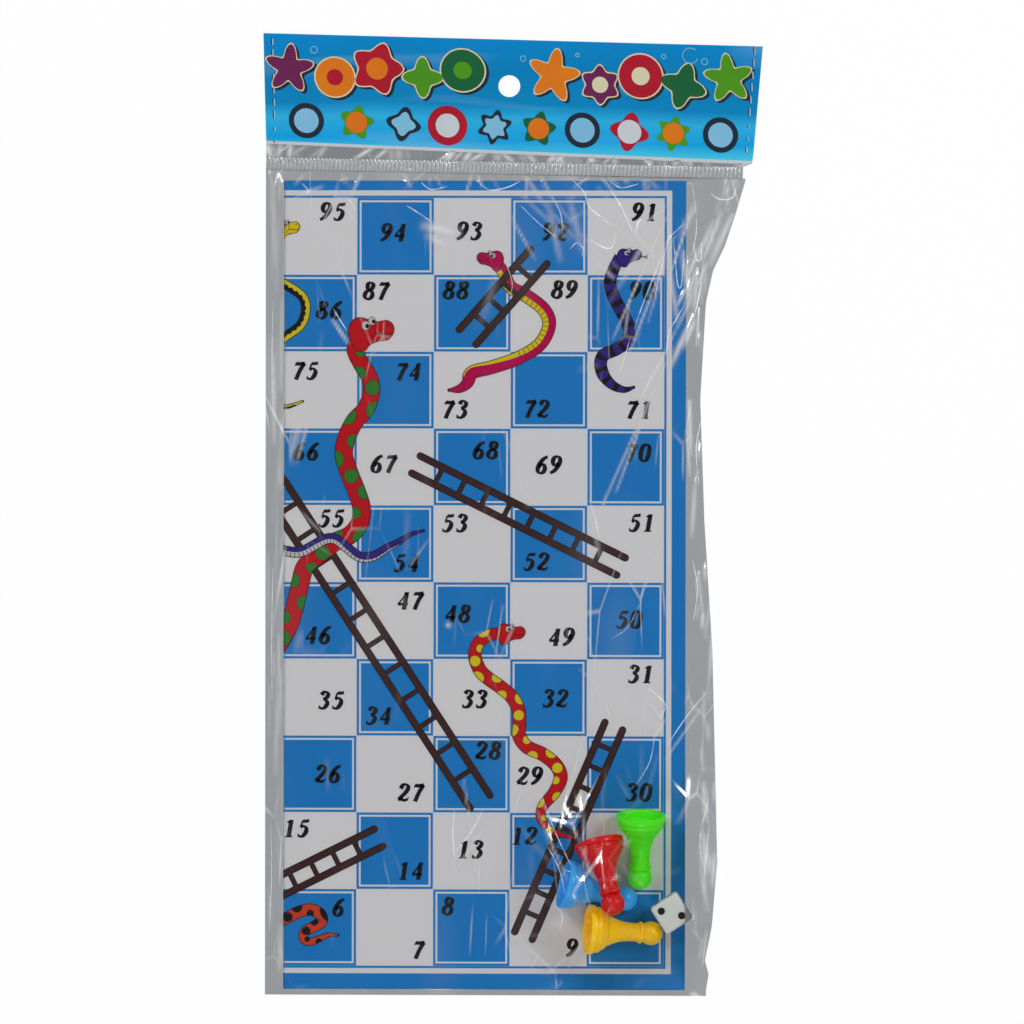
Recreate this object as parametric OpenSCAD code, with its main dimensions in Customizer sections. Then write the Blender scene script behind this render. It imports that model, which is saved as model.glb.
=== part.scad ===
// Folded snakes and ladders board with four pawns and a die, in its clear header bag.
// The pack lies on its back: +X right, +Y towards the header, +Z out of the printed face.
// The origin is under the middle of the folded board, on the surface that the bag lies on.

/* [Board] */
// Side of one printed square
cell = 24.5; // [18:0.5:30]
// Thickness of the card of each half
card_t = 0.6; // [0.4:0.1:2]
// Thickness of the printed paper glued on the card
paper_t = 0.1; // [0.08:0.01:0.2]
// Gap between the two folded halves
ply_gap = 0.05; // [0.03:0.01:0.2]
// Width of the blue border beside the field
border_side = 4.5; // [3:0.1:8]
// Width of the blue border above the field
border_top = 3.1; // [2.5:0.1:8]
// Width of the blue border below the field
border_bottom = 5.1; // [3:0.1:8]
// Width of the white band inside the blue border
white_band = 1.7; // [1:0.1:3]
// Width of the thin blue line round the field
edge_line = 0.7; // [0.4:0.1:1.2]

/* [Print] */
// Thickness shown for each layer of ink
ink_t = 0.03; // [0.02:0.01:0.05]
// Width of the blue outline of a blue square
cell_line = 0.8; // [0.5:0.1:1.5]
// Width of the pale line inside a blue square
pale_line = 0.6; // [0.4:0.1:1.2]
// White left between two squares that meet corner to corner
corner_gap = 0.12; // [0.08:0.02:0.4]
// Width of a ladder's rails
rail_w = 2.6; // [1.5:0.1:4]
// Width of a ladder's rungs
rung_w = 2; // [1:0.1:3]
// Width of a thick snake
thick_snake_w = 5.2; // [3:0.1:7]
// Width of a thin snake
thin_snake_w = 3.4; // [2:0.1:5]

/* [Bag] */
// Thickness of the clear film
film_t = 0.1; // [0.05:0.01:0.15]
// Film beyond the fold of the board
left_margin = 5.8; // [4:0.1:12]
// Film beyond the board's open side, at mid height
right_margin = 5.6; // [4.5:0.1:12]
// Film below the board
bottom_margin = 1.9; // [1.6:0.1:8]
// Width of the weld round the bag
weld_w = 1; // [0.6:0.1:1.2]
// Height of the ribbed mouth seal
crimp_h = 4; // [3:0.1:8]
// Thickness of the mouth seal between its ribs
crimp_t = 0.3; // [0.25:0.05:0.5]
// Height of a rib of the mouth seal
rib_h = 0.2; // [0.1:0.05:0.4]
// Distance from rib to rib
rib_pitch = 1.3; // [1:0.1:3]
// Space between the board's top and the middle of the mouth seal
mouth_gap = 2.1; // [2:0.1:6]
// Turn of the mouth seal and header across the board
skew = 1.1; // [0:0.1:1.1]
// Space between the loose pieces and the film over them
film_room = 0.8; // [0.5:0.1:1.5]

/* [Header] */
// Width of the header along its top
header_w = 159.2; // [150:0.2:170]
// Height of the header at its left end
header_h = 35.2; // [30:0.2:50]
// Thickness of each header panel
panel_t = 0.15; // [0.1:0.01:0.4]
// Gap between the two header panels
panel_gap = 0.05; // [0.03:0.01:0.2]
// Radius of the hang hole
hang_r = 3.5; // [2.5:0.1:5]
// Distance from the header's top edge to the hang hole
hang_drop = 15.3; // [10:0.1:18]
// Clear film between the mouth seal and the header's left end
neck_h = 4.3; // [3.8:0.1:8]

/* [Loose pieces] */
// Length of a pawn
pawn_h = 24.5; // [22:0.5:27]
// Radius of a pawn's open foot
pawn_r = 7.9; // [7:0.1:8]
// Radius of a pawn's neck
neck_r = 2.95; // [2.5:0.05:3.1]
// Radius of a pawn's collar
collar_r = 3.5; // [3.2:0.05:3.6]
// Radius of a pawn's ball
ball_r = 3.8; // [3.5:0.1:3.9]
// Wall of a pawn's hollow foot
pawn_wall = 1; // [0.8:0.1:1.4]
// Side of the die
die_s = 10; // [8:0.5:10]
// Radius of a pip
pip_r = 1.2; // [0.8:0.1:1.4]

/* [Hidden] */

overrun = 1;
clear = 0.05;
squares = 10;
squares_per_half = squares / 2;

// Sheet sizes
field_h = squares * cell;
frame_side = border_side + white_band + edge_line;
frame_top = border_top + white_band + edge_line;
frame_bottom = border_bottom + white_band + edge_line;
board_h = field_h + frame_top + frame_bottom;
half_t = card_t + paper_t;
fold_r = half_t + ply_gap / 2;
fold_arc = PI * fold_r;
fold_take_share = 0.79;
fold_take = fold_arc * fold_take_share;
back_lead = fold_arc - fold_take;
flat_w = squares_per_half * cell - fold_take + frame_side;
board_w = flat_w + fold_r;
left_x = -board_w / 2;
right_x = board_w / 2;
hinge_x = left_x + fold_r;
low_y = -board_h / 2;
high_y = board_h / 2;
field_y = low_y + frame_bottom;

// Heights of the layers, from the surface upward
back_ink_z = film_t + clear;
ink_layers = 3;
back_paper_z = back_ink_z + ink_layers * ink_t;
back_card_z = back_paper_z + paper_t;
fold_z = back_card_z + card_t + ply_gap / 2;
front_card_z = fold_z + ply_gap / 2;
front_paper_z = front_card_z + card_t;
front_ink_z = front_paper_z + paper_t;
piece_z = front_ink_z + ink_layers * ink_t + clear;
film_z = front_ink_z + ink_layers * ink_t + 2 * clear;
weld_t = 0.15;
seam_z = film_t + clear;

// Colours
card_grey = [0.72, 0.70, 0.66];
paper_white = [0.76, 0.75, 0.75];
ink_blue = [0.13, 0.39, 0.68];
ink_brown = [0.24, 0.17, 0.17];
ink_red = [0.78, 0.12, 0.15];
film_clear = [0.88, 0.90, 0.92, 0.3];
header_blue = [0.05, 0.52, 0.82];

// Places along the printed squares: c counts columns and r rows, from the field's low left corner
function front_x(c) = hinge_x - fold_take + (c - squares_per_half) * cell;
function back_x(c) = hinge_x - back_lead + (squares_per_half - c) * cell;
function row_y(r) = field_y + r * cell;
function place(p, front) = [front ? front_x(p[0]) : back_x(p[0]), row_y(p[1])];

// Ladders, each [column, row] to [column, row], its gauge in squares and its rungs
front_ladder_shares = [[[7.44, 8.19], [8.36, 9.24], 0.28, 5], [[6.77, 6.53], [9.44, 5.21], 0.25, 8],
    [[7.61, 2.14], [4.2, 7.35], 0.31, 14], [[6.29, 1.67], [3.5, 0.28], 0.25, 9],
    [[9.35, 3.13], [8.18, 0.4], 0.25, 9]];
back_ladder_shares = [[[7.61, 2.14], [4.2, 7.35], 0.31, 14], [[6.29, 1.67], [3.5, 0.28], 0.25, 9],
    [[0.5, 0.5], [0.9, 3.4], 0.25, 10], [[2.6, 3.5], [1.4, 6.2], 0.25, 10],
    [[0.4, 6.6], [1.5, 8.6], 0.25, 8]];

// Snakes, each [thin 0, thick 1 or slender 2, head to tail as [column, row]]
front_snake_shares = [
    [0, [[7.6, 9.2], [7.78, 9.24], [7.92, 9.12], [7.98, 8.88], [8.2, 8.73], [8.46, 8.53], [8.46, 8.24],
        [8.1, 7.92], [7.6, 7.8], [7.44, 7.64], [7.2, 7.5]]],
    [0, [[9.7, 9.24], [9.45, 9.22], [9.28, 8.88], [9.42, 8.56], [9.54, 8.25], [9.22, 7.99],
        [9.22, 7.68], [9.56, 7.52]]],
    [1, [[6.44, 8.28], [6.2, 8.34], [6, 8.22], [6, 7.98], [6.17, 7.65], [6.12, 7.25], [5.85, 6.8],
        [5.9, 6.4], [6.06, 5.9], [5.72, 5.52], [5.3, 5.15], [5.15, 4.6], [4.9, 4.1], [4.5, 3.8]]],
    [0, [[8.2, 4.32], [7.95, 4.4], [7.7, 4.3], [7.57, 4.05], [7.62, 3.84], [7.85, 3.66], [8.12, 3.25],
        [8.2, 2.86], [8.66, 2.5], [8.4, 2.0], [8.55, 1.75], [8.81, 1.67]]],
    [0, [[4.2, 5.9], [4.6, 5.5], [5.05, 5.42], [5.4, 5.46], [5.72, 5.56], [6.1, 5.31], [6.5, 5.48],
        [6.85, 5.67]]],
    [0, [[5.22, 9.57], [4.7, 9.3], [4.8, 8.95], [5.15, 8.85], [5.32, 8.54], [5.15, 8.25], [4.7, 7.9],
        [4.7, 7.4], [5.29, 7.35]]],
    [2, [[4.5, 0.9], [4.8, 0.5], [5.15, 0.68], [5.45, 0.76], [5.6, 0.58], [5.3, 0.42], [5.36, 0.2],
        [5.75, 0.28]]]];
back_snake_shares = [
    [1, [[5.3, 5.15], [5.15, 4.6], [4.9, 4.1], [4.4, 3.8], [4.0, 3.2], [4.3, 2.6]]],
    [0, [[3.6, 6.3], [4.1, 6.0], [4.6, 5.5], [5.05, 5.42]]],
    [0, [[5.22, 9.57], [4.7, 9.3], [4.8, 8.95], [5.15, 8.85]]],
    [0, [[5.15, 8.25], [4.7, 7.9], [4.7, 7.4], [5.29, 7.35]]],
    [0, [[4.2, 1.2], [4.5, 0.7], [4.8, 0.5], [5.2, 0.65]]],
    [1, [[2.3, 9.5], [2.0, 8.9], [2.6, 8.4], [2.1, 7.8], [2.7, 7.2], [2.5, 6.6], [3.0, 6.1]]],
    [0, [[3.4, 2.6], [3.0, 2.2], [2.6, 1.6], [2.1, 1.7], [1.7, 1.1], [1.3, 0.6]]],
    [0, [[1.2, 5.6], [0.7, 5.2], [1.2, 4.7], [0.7, 4.2], [1.0, 3.7]]]];
snake_steps = 5;
slender_share = 0.68;
snake_ws = [thin_snake_w, thick_snake_w, thin_snake_w * slender_share];
tail_share = 0.25;

// A smooth curve through points, and the outline of a band of changing width along it
function spline(a, b, c, d, t) = (2 * b + (c - a) * t + (2 * a - 5 * b + 4 * c - d) * t * t
    + (3 * b - a - 3 * c + d) * t * t * t) / 2;
function curve(p) = let (n = len(p)) concat([for (i = [0 : n - 2]) for (s = [0 : snake_steps - 1])
    spline(p[max(i - 1, 0)], p[i], p[i + 1], p[min(i + 2, n - 1)], s / snake_steps)], [p[n - 1]]);
function unit(v) = v / norm(v);
function heading(p, i) = unit(p[min(i + 1, len(p) - 1)] - p[max(i - 1, 0)]);
function taper(s) = min(1, min(tail_share + (1 - s) / tail_share, 1));
function band(p, w) = let (n = len(p) - 1) concat(
    [for (i = [0 : n]) let (d = heading(p, i)) p[i] + [-d[1], d[0]] * w / 2 * taper(i / n)],
    [for (i = [n : -1 : 0]) let (d = heading(p, i)) p[i] - [-d[1], d[0]] * w / 2 * taper(i / n)]);

// The bag's outline, from the low left corner round to the high left one
bag_left_x = left_x - left_margin;
bag_low_y = low_y - bottom_margin;
// Each [how far up the board, film beyond the board's side as a share of right_margin]
side_shares = [[0, 1.2], [0.02, 1.36], [0.035, 1.13], [0.08, 1.54], [0.16, 1.83], [0.42, 1.53],
    [0.58, 1.06], [0.73, 0.81], [0.85, 1.12], [0.89, 1.53], [0.92, 2.2], [0.96, 2.81], [1, 3.35]];
function side_x(y) = right_x + right_margin * lookup((y - low_y) / board_h, side_shares);
function mouth_y(x) = high_y + mouth_gap - tan(skew) * x;
mouth_x = side_x(high_y);

// A pawn's heights, as shares of its length
lip_share = 0.082;
flare_share = 0.13;
step_share = 0.245;
neck_share_low = 0.57;
neck_share_high = 0.67;
collar_shares = [0.682, 0.722];
cavity_share = 0.49;
flare_power = 1.9;
lip_h = lip_share * pawn_h;
flare_h = flare_share * pawn_h;
neck_low_h = neck_share_low * pawn_h;
ball_h = pawn_h - ball_r;
flare_r_share = 0.924;
flare_r = flare_r_share * pawn_r;
chamfer_share = 0.04;
chamfer = chamfer_share * pawn_r;
step_out = chamfer;
curve_steps = 10;
ball_start = -47;
function flare(h) = neck_r + (flare_r - neck_r)
    * pow(1 - (h - flare_h) / (neck_low_h - flare_h), flare_power);

// The pawns lie on the printed face, and the red one's ball is propped on the blue one's neck
function lie_tilt() = let (run = ball_h - lip_h) atan2(pawn_r, run) - asin(ball_r / norm([pawn_r, run]));
prop_share = 1.62;
red_ball_z = ball_r + neck_r + prop_share * collar_r;
red_tilt = atan2(pawn_r, ball_h) - asin(red_ball_z / norm([pawn_r, ball_h]));
// Each place is measured from the yellow pawn's ball, as a share of pawn_r
anchor_shares = [1.373, 2.33];
green_shares = [-0.443, 2.24];
blue_shares = [-1.03, 1.38];
red_shares = [-1.52, 1.26];
yellow_ball = [right_x - anchor_shares[0] * pawn_r, low_y + anchor_shares[1] * pawn_r];
green_ball = yellow_ball + green_shares * pawn_r;
blue_ball = yellow_ball + blue_shares * pawn_r;
red_ball = yellow_ball + red_shares * pawn_r;
green_turn = -91;
blue_turn = -14.5;
red_turn = -76.6;
yellow_turn = -4.2;
die_turn = 33;
die_gap_share = 0.04;
die_slip_share = 0.2;
die_at = yellow_ball + [cos(die_turn), sin(die_turn)] * (die_s / 2 + ball_r + die_gap_share * die_s)
    + [-sin(die_turn), cos(die_turn)] * die_slip_share * die_s;

// What holds the front film up: lines fanned from each foot's rim to its ball, and the die's top
function foot_of(ball, turn, tilt) = ball - [cos(turn), sin(turn)] * ball_h * cos(tilt);
fan_step = 15;
tip_shares = [0.8, 0.9];
function fan(ball, ball_up, turn, tilt) = let (ahead = [cos(turn), sin(turn)], side = [-ahead[1], ahead[0]],
    foot = foot_of(ball, turn, tilt), foot_up = ball_up + ball_h * sin(tilt))
    [for (a = [-90 : fan_step : 90]) [foot + side * pawn_r * sin(a), foot_up + pawn_r * cos(a) + film_room,
        ball + ball_r * (side * sin(a) + ahead * tip_shares[0] * cos(a)),
        ball_up + tip_shares[1] * ball_r * cos(a) + film_room]];
supports = concat(fan(green_ball, ball_r, green_turn, lie_tilt()), fan(blue_ball, ball_r, blue_turn, lie_tilt()),
    fan(yellow_ball, ball_r, yellow_turn, lie_tilt()), fan(red_ball, red_ball_z, red_turn, red_tilt));
run_share = 1.6;
tent_run = run_share * 2 * pawn_r;
tent_power = 3;
bend_r = 2 * film_room;
function slope(h, far) = h * pow(max(0, 1 - max(0, far - bend_r) / tent_run), tent_power);
foot_flat_share = 0.12;
function pole(p, s) = let (d = s[2] - s[0], t = max(0, min(1, (p - s[0]) * d / (d * d))),
    w = max(0, t - foot_flat_share) / (1 - foot_flat_share))
    slope(s[1] + (s[3] - s[1]) * w, norm(p - s[0] - d * t));
function die_tent(p) = let (d = p - die_at, ahead = [cos(die_turn), sin(die_turn)],
    out = [abs(d * ahead), abs(d * [-ahead[1], ahead[0]])] - [die_s, die_s] / 2)
    slope(die_s + film_room, norm([max(0, out[0]), max(0, out[1])]));
function tent(p) = max([die_tent(p), for (s = supports) pole(p, s)]);

// The front film's grid: columns from the fold to the open side, rows from the bottom to the mouth
hug = 4 * clear;
wide_columns = 5;
fine_columns = 32;
fine_rows = 32;
wide_rows = 15;
margin_columns = 3;
fine_x = yellow_ball[0] - 4 * tent_run / 3 - 2 * pawn_r;
fine_y = green_ball[1] + ball_h + tent_run / 2;
film_left_x = hinge_x + clear;
film_low_y = bag_low_y + weld_w + clear;
sheet_low_y = low_y - hug;
sheet_high_y = high_y + hug;
function edge_x(y) = let (r = die_s / sqrt(2) + film_room, d = y - die_at[1]) max(right_x + hug,
    abs(d) < r ? die_at[0] + sqrt(r * r - d * d) : right_x);
function column_x(j, y) = j <= wide_columns ? film_left_x + (fine_x - film_left_x) * j / wide_columns
    : j < wide_columns + fine_columns ? fine_x + (right_x - fine_x) * (j - wide_columns) / fine_columns
    : let (s = (j - wide_columns - fine_columns) / margin_columns, a = edge_x(y),
        b = side_x(max(y, low_y)) - weld_w - clear) a + (b - a) * s;
function row_y_of(i, x) = i == 0 ? film_low_y : i <= fine_rows
    ? sheet_low_y + (fine_y - sheet_low_y) * (i - 1) / (fine_rows - 1)
    : i <= fine_rows + wide_rows ? fine_y + (sheet_high_y - fine_y) * (i - fine_rows) / wide_rows
    : mouth_y(x) - 2 * clear;
margin_power = 1.5;
function film_point(i, j) = let (last = fine_rows + wide_rows + 1, cols = wide_columns + fine_columns,
    y0 = row_y_of(min(max(i, 1), last - 1), 0), x = column_x(j, y0), y = row_y_of(i, x),
    s = max(0, (j - cols) / margin_columns), flat = i == 0 || i == last ? 0 : pow(1 - s, margin_power),
    rise = film_z - seam_z + tent([min(x, edge_x(y0)), y])) [x, y, seam_z + rise * flat];
function grid_faces(rows, cols) = let (w = cols + 1, n = (rows + 1) * w) concat(
    [for (i = [0 : rows - 1]) for (j = [0 : cols - 1]) let (a = i * w + j) each
        [[a, a + w, a + 1], [a + 1, a + w, a + w + 1], [a + n, a + n + 1, a + n + w],
        [a + n + 1, a + n + w + 1, a + n + w]]],
    [for (j = [0 : cols - 1]) let (a = j, b = rows * w + j) each
        [[a, a + 1, a + n], [a + 1, a + n + 1, a + n], [b, b + n, b + 1], [b + 1, b + n, b + n + 1]]],
    [for (i = [0 : rows - 1]) let (a = i * w, b = i * w + cols) each
        [[a, a + n, a + w], [a + w, a + n, a + n + w], [b, b + w, b + n], [b + w, b + n + w, b + n]]]);

// The bag's open side and the inner line of its weld turn at the front film's rows
side_ys = [for (i = [1 : fine_rows + wide_rows]) row_y_of(i, 0)];
bag_outline = concat([[bag_left_x, bag_low_y], [side_x(low_y), bag_low_y]],
    [for (y = side_ys) [side_x(y), y]],
    [[mouth_x, mouth_y(mouth_x) - clear], [bag_left_x, mouth_y(bag_left_x) - clear]]);
weld_top_y = mouth_y(bag_left_x) + overrun;
inside_weld = concat([[bag_left_x - overrun, bag_low_y + weld_w],
    [side_x(low_y) - weld_w, bag_low_y + weld_w]], [for (y = side_ys) [side_x(y) - weld_w, y]],
    [[mouth_x - weld_w, weld_top_y], [bag_left_x - overrun, weld_top_y]]);

// The ply that wraps the folded side, as a curve from the hinge down to the weld
wrap_steps = 10;
wrap_power = 2.5;
function wrap_line(lift) = [for (k = [0 : wrap_steps]) let (s = k / wrap_steps)
    [hinge_x - clear + (bag_left_x - hinge_x + clear) * s,
    seam_z + lift + (film_z - seam_z) * pow(1 - s, wrap_power)]];

// The header, in the frame of the mouth seal: u runs along the seal and v towards the hang hole
head_left_u = bag_left_x - clear;
neck_top = crimp_h + neck_h;
head_top = neck_top + header_h;
head_fall_share = 0.03;
neck_fall_share = 0.8;
head_right_top = [head_left_u + header_w, head_top - head_fall_share * header_h];
head_lean_share = 0.12;
head_right_low = [head_right_top[0] - head_lean_share * header_h, neck_top - neck_fall_share * neck_h];
head_outline = [[head_left_u, neck_top], head_right_low, head_right_top, [head_left_u, head_top]];
hang_at_share = 0.485;
hang_at = [head_left_u + hang_at_share * header_w, head_top - hang_drop];
front_panel_z = panel_t + panel_gap;
weld_dash = 2.6;
weld_dash_w = 0.6;
weld_dash_pitch = 4.4;
weld_dash_t = 0.05;
weld_inset = 2;
rib_w_share = 0.5;
seal_u0 = bag_left_x;
seal_u1 = mouth_x;
rib_count = floor((seal_u1 - seal_u0) / rib_pitch);

module in_seal_frame() {
    translate([0, high_y + mouth_gap, 0]) rotate([0, 0, -skew]) children();
}

// One half's card or paper, flat
module half_sheet(z, t, color_of) {
    color(color_of) translate([hinge_x, low_y, z]) cube([right_x - hinge_x, board_h, t]);
}

// The blue border, the thin line and the blue squares of one half
module blue_print(front) {
    columns = front ? [squares_per_half : squares - 1] : [0 : squares_per_half - 1];
    outer_x = front ? front_x(squares) : back_x(0);
    line_x = outer_x + edge_line;
    band_x = line_x + white_band;
    difference() {
        translate([hinge_x, low_y]) square([right_x - hinge_x, board_h]);
        translate([hinge_x - overrun, low_y + border_bottom])
            square([band_x - hinge_x + overrun, board_h - border_bottom - border_top]);
    }
    difference() {
        translate([hinge_x, field_y - edge_line]) square([line_x - hinge_x, field_h + 2 * edge_line]);
        translate([hinge_x - overrun, field_y]) square([outer_x - hinge_x + overrun, field_h]);
    }
    intersection() {
        translate([hinge_x, low_y]) square([right_x - hinge_x, board_h]);
        for (c = columns) for (r = [0 : squares - 1]) if ((c + r) % 2 == 1)
            translate([(front ? front_x(c) : back_x(c + 1)), row_y(r)]) blue_square();
    }
}

module blue_square() {
    difference() {
        inset_square(corner_gap / 2);
        inset_square(cell_line);
    }
    inset_square(cell_line + pale_line);
}

module inset_square(inset) {
    translate([inset, inset]) square(cell - 2 * inset);
}

module ladder(a, b, gauge, rungs) {
    run = norm(b - a);
    translate(a) rotate(atan2(b[1] - a[1], b[0] - a[0])) {
        for (side = [-1, 1]) translate([0, side * gauge / 2 - rail_w / 2]) square([run, rail_w]);
        for (k = [1 : rungs]) translate([run * k / (rungs + 1) - rung_w / 2, -gauge / 2])
            square([rung_w, gauge]);
    }
}

module ladder_print(front) {
    within_half() for (l = (front ? front_ladder_shares : back_ladder_shares))
        ladder(place(l[0], front), place(l[1], front), l[2] * cell, l[3]);
}

module snake_print(front) {
    within_half() for (s = (front ? front_snake_shares : back_snake_shares))
        polygon(band([for (p = curve(s[1])) place(p, front)], snake_ws[s[0]]));
}

module within_half() {
    intersection() {
        translate([hinge_x, low_y]) square([right_x - hinge_x, board_h]);
        union() children();
    }
}

module ink(z, color_of) {
    color(color_of) translate([0, 0, z]) linear_extrude(ink_t) children();
}

module back_card() { half_sheet(back_card_z, card_t, card_grey); }
module back_print_sheet() { half_sheet(back_paper_z, paper_t, paper_white); }
module back_blue_ink() { ink(back_paper_z - ink_t, ink_blue) blue_print(false); }
module back_ladder_ink() { ink(back_paper_z - 2 * ink_t, ink_brown) ladder_print(false); }
module back_snake_ink() { ink(back_paper_z - ink_layers * ink_t, ink_red) snake_print(false); }
module front_card() { half_sheet(front_card_z, card_t, card_grey); }
module front_print_sheet() { half_sheet(front_paper_z, paper_t, paper_white); }
module front_blue_ink() { ink(front_ink_z, ink_blue) blue_print(true); }
module front_ladder_ink() { ink(front_ink_z + ink_t, ink_brown) ladder_print(true); }
module front_snake_ink() { ink(front_ink_z + 2 * ink_t, ink_red) snake_print(true); }

// The paper that runs round the fold, open by a hair where the front half turns
spine_open = 90 + asin(2 * clear / (fold_r - paper_t));
spine_steps = 18;
module spine_paper() {
    function ring(r) = [for (k = [0 : spine_steps])
        let (a = spine_open + (270 - spine_open) * k / spine_steps) r * [cos(a), sin(a)]];
    inner = ring(fold_r - paper_t);
    color(paper_white) translate([hinge_x, high_y, fold_z]) rotate([90, 0, 0]) linear_extrude(board_h)
        polygon(concat(ring(fold_r), [for (k = [spine_steps : -1 : 0]) inner[k]]));
}

module bag_back_film() {
    color(film_clear) linear_extrude(film_t) polygon(bag_outline);
}

module bag_front_film() {
    rows = fine_rows + wide_rows + 1;
    cols = wide_columns + fine_columns + margin_columns;
    low = [for (i = [0 : rows]) for (j = [0 : cols]) film_point(i, j)];
    color(film_clear) polyhedron(concat(low, [for (p = low) p + [0, 0, film_t]]), grid_faces(rows, cols));
}

module bag_fold_side() {
    low = wrap_line(0);
    color(film_clear) translate([0, high_y + mouth_gap - clear, 0]) rotate([90, 0, 0])
        linear_extrude(board_h + mouth_gap + bottom_margin - weld_w - 2 * clear)
        polygon(concat(low, [for (k = [wrap_steps : -1 : 0]) low[k] + [0, film_t]]));
}

module bag_edge_weld() {
    color(film_clear) translate([0, 0, film_t]) linear_extrude(weld_t) difference() {
        polygon(bag_outline);
        polygon(inside_weld);
    }
}

module mouth_seal() {
    length = rib_count * rib_pitch;
    top = [for (k = [rib_count - 1 : -1 : 0]) let (u = k * rib_pitch, w = rib_pitch * rib_w_share) each
        [[u + w, crimp_t], [u + w, crimp_t + rib_h], [u, crimp_t + rib_h], [u, crimp_t]]];
    color(film_clear) in_seal_frame() translate([seal_u0, crimp_h, 0]) rotate([90, 0, 0])
        linear_extrude(crimp_h) polygon(concat([[0, 0], [length, 0], [length, crimp_t]], top));
}

module neck_film() {
    color(film_clear) in_seal_frame() linear_extrude(2 * film_t) polygon([[seal_u0, crimp_h + clear],
        [seal_u0 + rib_count * rib_pitch, crimp_h + clear], head_outline[1], head_outline[0]]);
}

module header_panel() {
    difference() {
        linear_extrude(panel_t) polygon(head_outline);
        translate([hang_at[0], hang_at[1], -overrun])
            cylinder(r = hang_r, h = panel_t + 2 * overrun, $fn = 48);
    }
}

module header_back_panel() { color(header_blue) in_seal_frame() header_panel(); }

module header_front_panel() {
    color(header_blue) in_seal_frame() translate([0, 0, front_panel_z]) header_panel();
}

module header_side_welds() {
    count = floor(header_h / weld_dash_pitch) - 1;
    right_u = head_right_low[0] - 2 * weld_inset;
    color(header_blue) in_seal_frame()
        for (u = [head_left_u + weld_inset, right_u]) for (k = [0 : count - 1])
            translate([u, neck_top + weld_inset + k * weld_dash_pitch, front_panel_z + panel_t])
            cube([weld_dash_w, weld_dash, weld_dash_t]);
}

// A pawn standing on its open foot
module pawn() {
    outer = concat([[pawn_r - pawn_wall, 0], [pawn_r - chamfer, 0], [pawn_r, chamfer], [pawn_r, lip_h],
        [pawn_r - chamfer, lip_h + chamfer]],
        [for (k = [0 : curve_steps]) let (h = flare_h + (neck_low_h - flare_h) * k / curve_steps)
            [flare(h) + (h < step_share * pawn_h ? step_out : 0), h]],
        [[neck_r, neck_share_high * pawn_h], [collar_r, collar_shares[0] * pawn_h],
        [collar_r, collar_shares[1] * pawn_h]],
        [for (k = [0 : curve_steps]) let (a = ball_start + (90 - ball_start) * k / curve_steps)
            [k == curve_steps ? 0 : ball_r * cos(a), ball_h + ball_r * sin(a)]]);
    roof_h = cavity_share * pawn_h;
    hollow = [for (k = [curve_steps : -1 : 1]) let (h = flare_h + (roof_h - flare_h) * k / curve_steps)
        [flare(h) - pawn_wall, h]];
    rotate_extrude($fn = 64) polygon(concat(outer, [[0, roof_h + pawn_wall]], hollow,
        [[flare_r - pawn_wall, flare_h]]));
}

module laid(ball, turn, tilt, z) {
    translate([ball[0], ball[1], piece_z + z]) rotate([0, 90 + tilt, turn]) translate([0, 0, -ball_h]) pawn();
}

module green_pawn() { color([0.24, 0.80, 0.12]) laid(green_ball, green_turn, lie_tilt(), ball_r); }
module red_pawn() { color([0.80, 0.10, 0.12]) laid(red_ball, red_turn, red_tilt, red_ball_z); }
module blue_pawn() { color([0.29, 0.62, 0.86]) laid(blue_ball, blue_turn, lie_tilt(), ball_r); }
module yellow_pawn() { color([0.98, 0.74, 0.08]) laid(yellow_ball, yellow_turn, lie_tilt(), ball_r); }

module in_die_frame() {
    translate([die_at[0], die_at[1], piece_z + die_s / 2]) rotate(die_turn) children();
}

edge_share = 0.12;
corner_share = 0.8;
module rounded_bar() {
    edge = edge_share * die_s;
    translate([0, 0, -die_s / 2]) linear_extrude(die_s) {
        square([die_s, die_s - 2 * edge], center = true);
        square([die_s - 2 * edge, die_s], center = true);
        for (x = [-1, 1]) for (y = [-1, 1]) translate([x, y] * (die_s / 2 - edge)) circle(r = edge, $fn = 32);
    }
}

// Each face's turn and its pips, in steps from the face's middle
pip_step_share = 0.235;
pip_depth_share = 0.03;
faces = [[[0, 0, 0], [[1, -1], [-1, 1]]], [[180, 0, 0], [[1, 1], [1, -1], [-1, 1], [-1, -1], [0, 0]]],
    [[0, 90, 0], [[0, 0]]], [[0, -90, 0], [[1, 1], [1, 0], [1, -1], [-1, 1], [-1, 0], [-1, -1]]],
    [[90, 0, 0], [[1, 1], [0, 0], [-1, -1]]], [[-90, 0, 0], [[1, 1], [1, -1], [-1, 1], [-1, -1]]]];
module pips(r, depth, lift) {
    for (f = faces) rotate(f[0]) for (p = f[1]) translate([p[0] * pip_step_share * die_s,
        p[1] * pip_step_share * die_s, die_s / 2 - depth]) cylinder(r = r, h = depth + lift, $fn = 32);
}

module die() {
    color([0.87, 0.88, 0.87]) in_die_frame() difference() {
        intersection() {
            rounded_bar();
            rotate([90, 0, 0]) rounded_bar();
            rotate([0, 90, 0]) rounded_bar();
            sphere(r = corner_share * die_s, $fn = 64);
        }
        pips(pip_r, pip_depth_share * die_s, overrun);
    }
}

module die_pips() {
    color([0.08, 0.08, 0.08]) in_die_frame() pips(pip_r - clear, pip_depth_share * die_s, -clear);
}

back_card();
back_print_sheet();
back_blue_ink();
back_ladder_ink();
back_snake_ink();
spine_paper();
front_card();
front_print_sheet();
front_blue_ink();
front_ladder_ink();
front_snake_ink();
bag_back_film();
bag_front_film();
bag_fold_side();
bag_edge_weld();
mouth_seal();
neck_film();
header_back_panel();
header_front_panel();
header_side_welds();
green_pawn();
red_pawn();
blue_pawn();
yellow_pawn();
die();
die_pips();
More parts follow.
